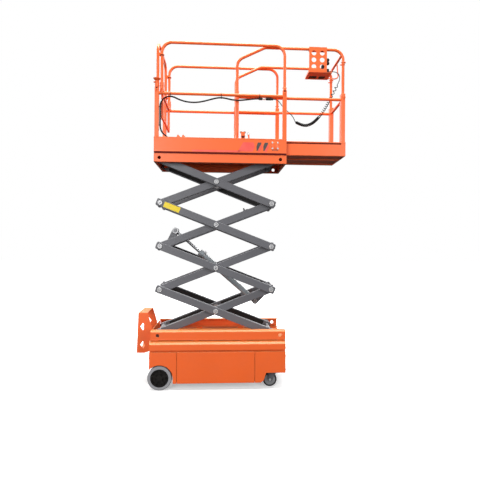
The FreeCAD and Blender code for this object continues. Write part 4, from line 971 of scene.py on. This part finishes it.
pin_spots = [(SIDE_LEG_X, MID_RAIL_Z + 0.040)] + [(x, POST_HEAD - 0.022) for x in (FRONT_POST_X, REAR_POST_X)]
ring_lean = Matrix.Rotation(0.5, 4, "X")
ring_places = [at(x, side * (PIN_FACE + 0.005), z - 0.012) @ AXLE @ ring_lean
               for x, z in pin_spots for side in SIDES]
lock_pins = solids(stud(0.0060, 0.006), on_sides(pin_spots, PIN_FACE))
lock_pins += rings(hoop(0.0115, 0.0012, 6), ring_places)
turned_piece("platform_lock_pins", lock_pins, *PLATFORM_PAINT, 20)

collars = rings(COLLAR, on_posts(POST_XS, POST_LINE, [POST_HEAD]))
collars += rings(hoop(0.0160, 0.0034), on_posts(POST_XS, POST_LINE, [POST_HEAD + 0.0250]))
turned_piece("post_collars", collars, *PLATFORM_PAINT)
knob_places = on_sides([(x, POST_HEAD + 0.0120) for x in POST_XS], POST_LINE + 0.0150)
turned_piece("post_knobs", solids(stud(0.0150, 0.0070), knob_places), *PLATFORM_PAINT)
# Dark red studs just below the knobs: painted shade
knob_shade_places = on_sides([(x, POST_HEAD - 0.0070) for x in POST_XS], POST_LINE + 0.0040)
turned_piece("post_knob_shades", solids(stud(0.0110, 0.0150), knob_shade_places), *PLATFORM_SHADE)

clamps = rings(hoop(0.0152, 0.0038), on_posts([SIDE_LEG_X], POST_LINE, CLAMP_HEIGHTS))
turned_piece("leg_clamps", clamps, *PLATFORM_PAINT)
# Dark red rings below and between the clamps: painted shade
clamp_shades = rings(washer(0.0134, 0.0176, 0.0060), on_posts([SIDE_LEG_X], POST_LINE, [UPPER_SHADE_Z]))
clamp_shades += rings(washer(0.0134, 0.0180, 0.0120), on_posts([SIDE_LEG_X], POST_LINE, [LOWER_SHADE_Z]))
turned_piece("leg_clamp_shades", clamp_shades, *PLATFORM_SHADE)
latches = rings(washer(COLLAR_BORE, 0.0172, 0.0720), on_posts([REAR_POST_X], POST_LINE, [POST_HEAD + 0.0060]))
turned_piece("leg_latches", latches, *PLATFORM_PAINT)
hook = oblong(REAR_POST_X - 0.0290, REAR_POST_X - 0.0160, POST_HEAD + 0.0400, POST_HEAD + 0.0520)
slab_piece("leg_latch_hooks", plates([hook], 0.0100, POST_LINE - 0.0050), *PLATFORM_PAINT, 0.002)
collars = rings(COLLAR, on_posts([EXTENSION_POST_X], EXTENSION_LINE, [POST_HEAD]))
turned_piece("extension_post_collars", collars, *EXTENSION_PAINT)


# Front of the roll-out deck: clip bands with their lugs, and pins with rings

bands = rings(hoop(0.0150, 0.0034), on_posts([EXTENSION_POST_X], EXTENSION_LINE, CLIP_HEIGHTS))
turned_piece("front_clip_bands", bands, *EXTENSION_PAINT)
front_lug = oblong(EXTENSION_POST_X + 0.010, EXTENSION_POST_X + 0.024, 2.936, 2.950)
rear_lug = oblong(EXTENSION_POST_X - 0.028, EXTENSION_POST_X - 0.010, 2.916, 2.925)
lugs = plates([front_lug], 0.012, EXTENSION_LINE - 0.006) + plates([rear_lug], 0.010, EXTENSION_LINE - 0.005)
slab_piece("front_clip_lugs", lugs, *EXTENSION_PAINT, 0.002)
places = on_sides([(EXTENSION_POST_X + 0.006, POST_HEAD - 0.034)], EXTENSION_LINE + 0.018)
front_pins = rings(hoop(0.0125, 0.0032), places) + solids(stud(0.0062, 0.006), places)
turned_piece("front_pin_rings", front_pins, *EXTENSION_PAINT)


# Tray strap: a bent bar from the front bar down to the edge of the controller's tray

STRAP_Y = -0.066
STRAP = [(0.9060, 2.998), (0.9108, 2.9028), (0.9206, 2.8793), (0.8976, 2.8528), (0.8406, 2.8549),
         (0.8140, 2.8549)]
piece("tray_strap", bar_mesh([(x, STRAP_Y, z) for x, z in STRAP], 0.0058, 3), *EXTENSION_PAINT, 40)


# Controller: a low body with a rubber boot, a leaning stick with a two-lobed grip, and switches

STICK_X = 0.7445
STICK_Y = -0.1855
BODY_TOP = 2.8840
BODY = oblong(0.614, 0.790, 2.8443, BODY_TOP)
BACK = oblong(0.618, 0.786, 2.8446, 2.8720)
GRIP_PLACE = (0.7870, STICK_Y, 2.9700)
STEM_LINE = [(STICK_X, 2.932), (0.7600, 2.950), (0.7860, 2.966)]
BOOT = [(0, 0), (0.0220, 0), (0.0175, 0.010), (0.0195, 0.015), (0.0155, 0.024), (0.0172, 0.030),
        (0.0160, 0.044), (0.0110, 0.054), (0, 0.057)]
GRIP = [(0, -0.030), (0.0120, -0.029), (0.0190, -0.020), (0.0175, -0.008), (0.0110, 0.000), (0.0175, 0.009),
        (0.0190, 0.020), (0.0120, 0.029), (0, 0.030)]
slab_piece("controller_back", plates([BACK], 0.0420, 0.0780, NEAR_SIDE),
           BLACK, "extension", "black_plastic", 0.003)
controller = slab_piece("controller_body", plates([BODY], 0.1300, 0.1205, NEAR_SIDE),
                        BLACK, "extension", "black_plastic", 0.006)
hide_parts("controller")
stick = solids(BOOT, [at(STICK_X, STICK_Y, BODY_TOP)]) + solids(GRIP, [at(*GRIP_PLACE)])
turned_piece("stick_boot", stick, SOOT, "extension", "black_plastic")
stem = bar_mesh([(x, STICK_Y, z) for x, z in STEM_LINE], 0.0055)
joined("stick_stem", [stem], DULL, "extension", "zinc", 40)
turned_piece("stop_button", solids(stud(0.0125, 0.0120), [at(0.6480, STICK_Y, BODY_TOP)]),
             RED, "extension", "black_plastic")
switch_places = [at(x, y, BODY_TOP) for x in (0.682, 0.706) for y in (-0.205, -0.166)]
turned_piece("controller_switches", solids(stud(0.0055, 0.0090), switch_places), ZINC, "extension", "zinc")


# Joint of the cables under the middle rail: two plugs with a pale ring between them

JOINT_Z = 2.5762


def sleeve(start, end, radius):
    """A round sleeve along X, under the near rail."""
    length = end - start
    profile = [(0, 0), (radius * 0.8, 0), (radius, length * 0.12), (radius, length * 0.88),
               (radius * 0.8, length), (0, length)]
    return profile, at(start, -POST_LINE, JOINT_Z) @ AXLE, False


turned_piece("cable_plugs", [sleeve(0.142, 0.175, 0.0115), sleeve(0.207, 0.256, 0.0120)],
             SOOT, "platform", "black_plastic")
turned_piece("cable_plug_ring", [sleeve(0.176, 0.206, 0.0098)], PALE_ZINC, "platform", "zinc")


# Deck lock on the near side: rubber grips, a dark plate that paints the shadow under the lock, and a ring on
# a small stem

# Painted shadow under the lock
LOCK_SHADOW = [(-0.0160, 2.2380), (0.0240, 2.2380), (0.0060, 2.2150), (-0.0020, 2.2150)]
STEM = [(0.0430, 2.2490), (0.0520, 2.2120), (0.0620, 2.2120), (0.0600, 2.2490)]
grip_places = [at(x, -0.3093, 2.2716) @ AXLE for x in (-0.0220, 0.0110)]
turned_piece("lock_grips", solids(stud(0.0085, 0.0160), grip_places), SOOT, "platform", "black_plastic")
slab_piece("lock_shadow", plates([LOCK_SHADOW], 0.0012, 0.3182, NEAR_SIDE), *PLATFORM_SHADE)
slab_piece("lock_stem", plates([STEM], 0.0040, 0.3150, NEAR_SIDE), *PLATFORM_PAINT, 0.0008)
turned_piece("lock_ring", rings(hoop(0.0105, 0.0024), [onto(-1, 0.0516, 2.2600, 0.3170)]),
             PALE_ZINC, "platform", "zinc")


# Painted shade: dark strips along the foot of the toe boards, and under the lip of the roll-out deck's ones

TOE_SHADE_STRIP = oblong(PLATFORM_REAR + 0.002, PLATFORM_FRONT - 0.002, SKIRT_TOP + 0.0006, DECK_TOP + 0.0082)
SHADE_STRIP = oblong(EXTENSION_REAR + 0.010, EXTENSION_FRONT - 0.040,
                     EXTENSION_TOE_TOP - 0.0190, EXTENSION_TOE_TOP - 0.0065)
slab_piece("deck_shade_strip", plates([TOE_SHADE_STRIP], 0.0006, TOE_FACE), *PLATFORM_SHADE)
slab_piece("lip_shade", plates([SHADE_STRIP], 0.0006, EXTENSION_TOE_FACE), SHADE_RED, "extension", "black_plastic")


# Wheels: ribs, cap and bolts of the drive hubs, and the casters' axle nuts

HUB_FACE = 0.371
HUB_RIB = oblong(0.024, 0.068, -0.0075, 0.0075)
HUB_TURNS = [Matrix.Rotation(math.radians(18 + 72 * step), 4, "Z") for step in range(5)]
CASTER = (0.258, 0.0625, 0.303)
SIDE_NAMES = (("left", 1), ("right", -1))
for side_name, side in SIDE_NAMES:
    dressing = (HUB_BLACK, "drive_wheel_" + side_name, "black_plastic")
    centre = onto(side, WHEEL_X, WHEEL_RADIUS, HUB_FACE)
    hub_ribs = [(HUB_RIB, 0.0035, centre @ turn) for turn in HUB_TURNS]
    slab_piece("hub_ribs_" + side_name, hub_ribs, *dressing, 0.001)
    cap = solids(stud(0.0260, 0.0065), [centre]) + rings(washer(0.0680, 0.0740, 0.0030), [centre])
    turned_piece("hub_cap_" + side_name, cap, *dressing, 36)
    bolts = laid_out("bolts", BOLT_RING, HUB_BLACK, Count=5, Ring_radius=0.046,
                     Centre=(WHEEL_X, side * (HUB_FACE + 0.0042), WHEEL_RADIUS), Facing=FACING[side],
                     Washer_radius=0.0062, Washer_height=0.0014, Head_radius=0.0046, Head_height=0.0030)
    joined("hub_bolts_" + side_name, [bolts], *dressing)

for side_name, side in SIDE_NAMES:
    centre = onto(side, *CASTER)
    nut = rings(washer(0.0060, 0.0110, 0.0040), [centre]) + solids(stud(0.0062, 0.0065), [centre])
    turned_piece("caster_nut_" + side_name, nut, PALE_ZINC, "caster_fork_" + side_name, "zinc", 16)


# Screws along the upright edges of the chassis ends

SCREW = stud(0.0075, 0.0045)
SCREW_LINE = 0.362
front_screws = [place @ AXLE for place in on_posts([CHASSIS_FRONT], SCREW_LINE, (0.360, 0.287, 0.168))]
rear_screws = [place @ BACK_AXLE for place in on_posts([CHASSIS_REAR], SCREW_LINE, (0.283, 0.197))]
turned_piece("edge_screws", solids(SCREW, front_screws + rear_screws), ZINC, "chassis", "zinc", 16)


# Camera, light and floor

bpy.context.scene.view_settings.view_transform = "Standard"

camera_data = bpy.data.cameras.new("camera")
camera_data.sensor_width = 36.0
camera_data.lens = 37.09
camera_data.shift_x = -0.0369
camera_data.shift_y = 0.0063
camera = new_object("camera", camera_data)
camera.matrix_world = (
    at(-0.177, -4.713, 1.286)
    @ Matrix.Rotation(math.radians(-4.124), 4, "Z")
    @ Matrix.Rotation(math.radians(90), 4, "X")
    @ Matrix.Rotation(math.radians(0.35), 4, "Z")
)
bpy.context.scene.camera = camera

# Large soft lamps, all aimed at one point: each with its place, its size and its power
LAMP_TARGET = Vector((0.0, 0.0, 1.5))
LAMPS = (
    ("above", (-0.2, -0.1, 6.9), (5.0, 3.6), 640),
    ("front left", (-3.8, -7.2, 2.9), (4.0, 4.0), 430),
    ("front right", (4.6, -7.0, 2.8), (4.0, 4.0), 290),
    ("back left", (-3.6, 5.4, 4.8), (3.0, 3.0), 300),
    ("back right", (3.6, 5.4, 4.8), (3.0, 3.0), 300),
)
for name, place, size, power in LAMPS:
    light = bpy.data.lights.new(name, "AREA")
    light.shape = "RECTANGLE"
    light.size, light.size_y = size
    light.energy = power
    lamp = new_object(name, light)
    lamp.location = place
    lamp.rotation_euler = (LAMP_TARGET - Vector(place)).to_track_quat("-Z", "Y").to_euler()

# The camera sees white, glossy faces mirror a part of it, and all other rays get a faint light
WHITE = (1.0, 1.0, 1.0, 1.0)
FAINT_STRENGTH = 0.05
MIRRORED_SHARE = 0.40
world = bpy.data.worlds.new("studio")
bpy.context.scene.world = world
world.use_nodes = True
sky = Shading(world.node_tree)
faint = sky.tree.nodes["Background"]
faint.inputs["Color"].default_value = WHITE
faint.inputs["Strength"].default_value = FAINT_STRENGTH
white = sky.add("Background", {"Color": WHITE, "Strength": 1.0})["Background"]
ray = sky.add("LightPath")
either = sky.add("Math", {
    0: ray["Is Glossy Ray"], 1: MIRRORED_SHARE, 2: ray["Is Camera Ray"],
}, operation="MULTIPLY_ADD", use_clamp=True)["Value"]
chosen = sky.add("MixShader", {0: either, 1: Value(sky, faint.outputs[0]), 2: white})["Shader"]
sky.put(sky.tree.nodes["World Output"].inputs[0], chosen)

# The floor glows white for the camera, less under the machine, and is dark for all other rays
FLOOR_REACH = 30
corners = [(x * FLOOR_REACH, y * FLOOR_REACH, 0) for x, y in ((-1, -1), (1, -1), (1, 1), (-1, 1))]
floor_mesh = bpy.data.meshes.new("floor")
floor_mesh.from_pydata(corners, [], [(0, 1, 2, 3)])
floor = new_object("floor", floor_mesh)
ground = Finish("pale_floor", (0.85, 0.85, 0.85, 1.0), Roughness=0.95,
                Specular_IOR_Level=0.0, Emission_Strength=1.0)
away = ground.add("VectorMath", {0: ground.place}, operation="LENGTH")["Value"]
ground.feed(Emission_Color=ground.mix(away.above(1.2, 3.6), (0.4, 0.4, 0.4, 1.0), WHITE))
dull_floor = ground.add("BsdfDiffuse", {"Color": (0.07, 0.07, 0.07, 1.0)})["BSDF"]
seen = ground.add("LightPath")["Is Camera Ray"]
bright_floor = Value(ground, ground.shader.outputs[0])
both = ground.add("MixShader", {0: seen, 1: dull_floor, 2: bright_floor})["Shader"]
ground.put(ground.tree.nodes["Material Output"].inputs[0], both)
floor_mesh.materials.append(ground.material)
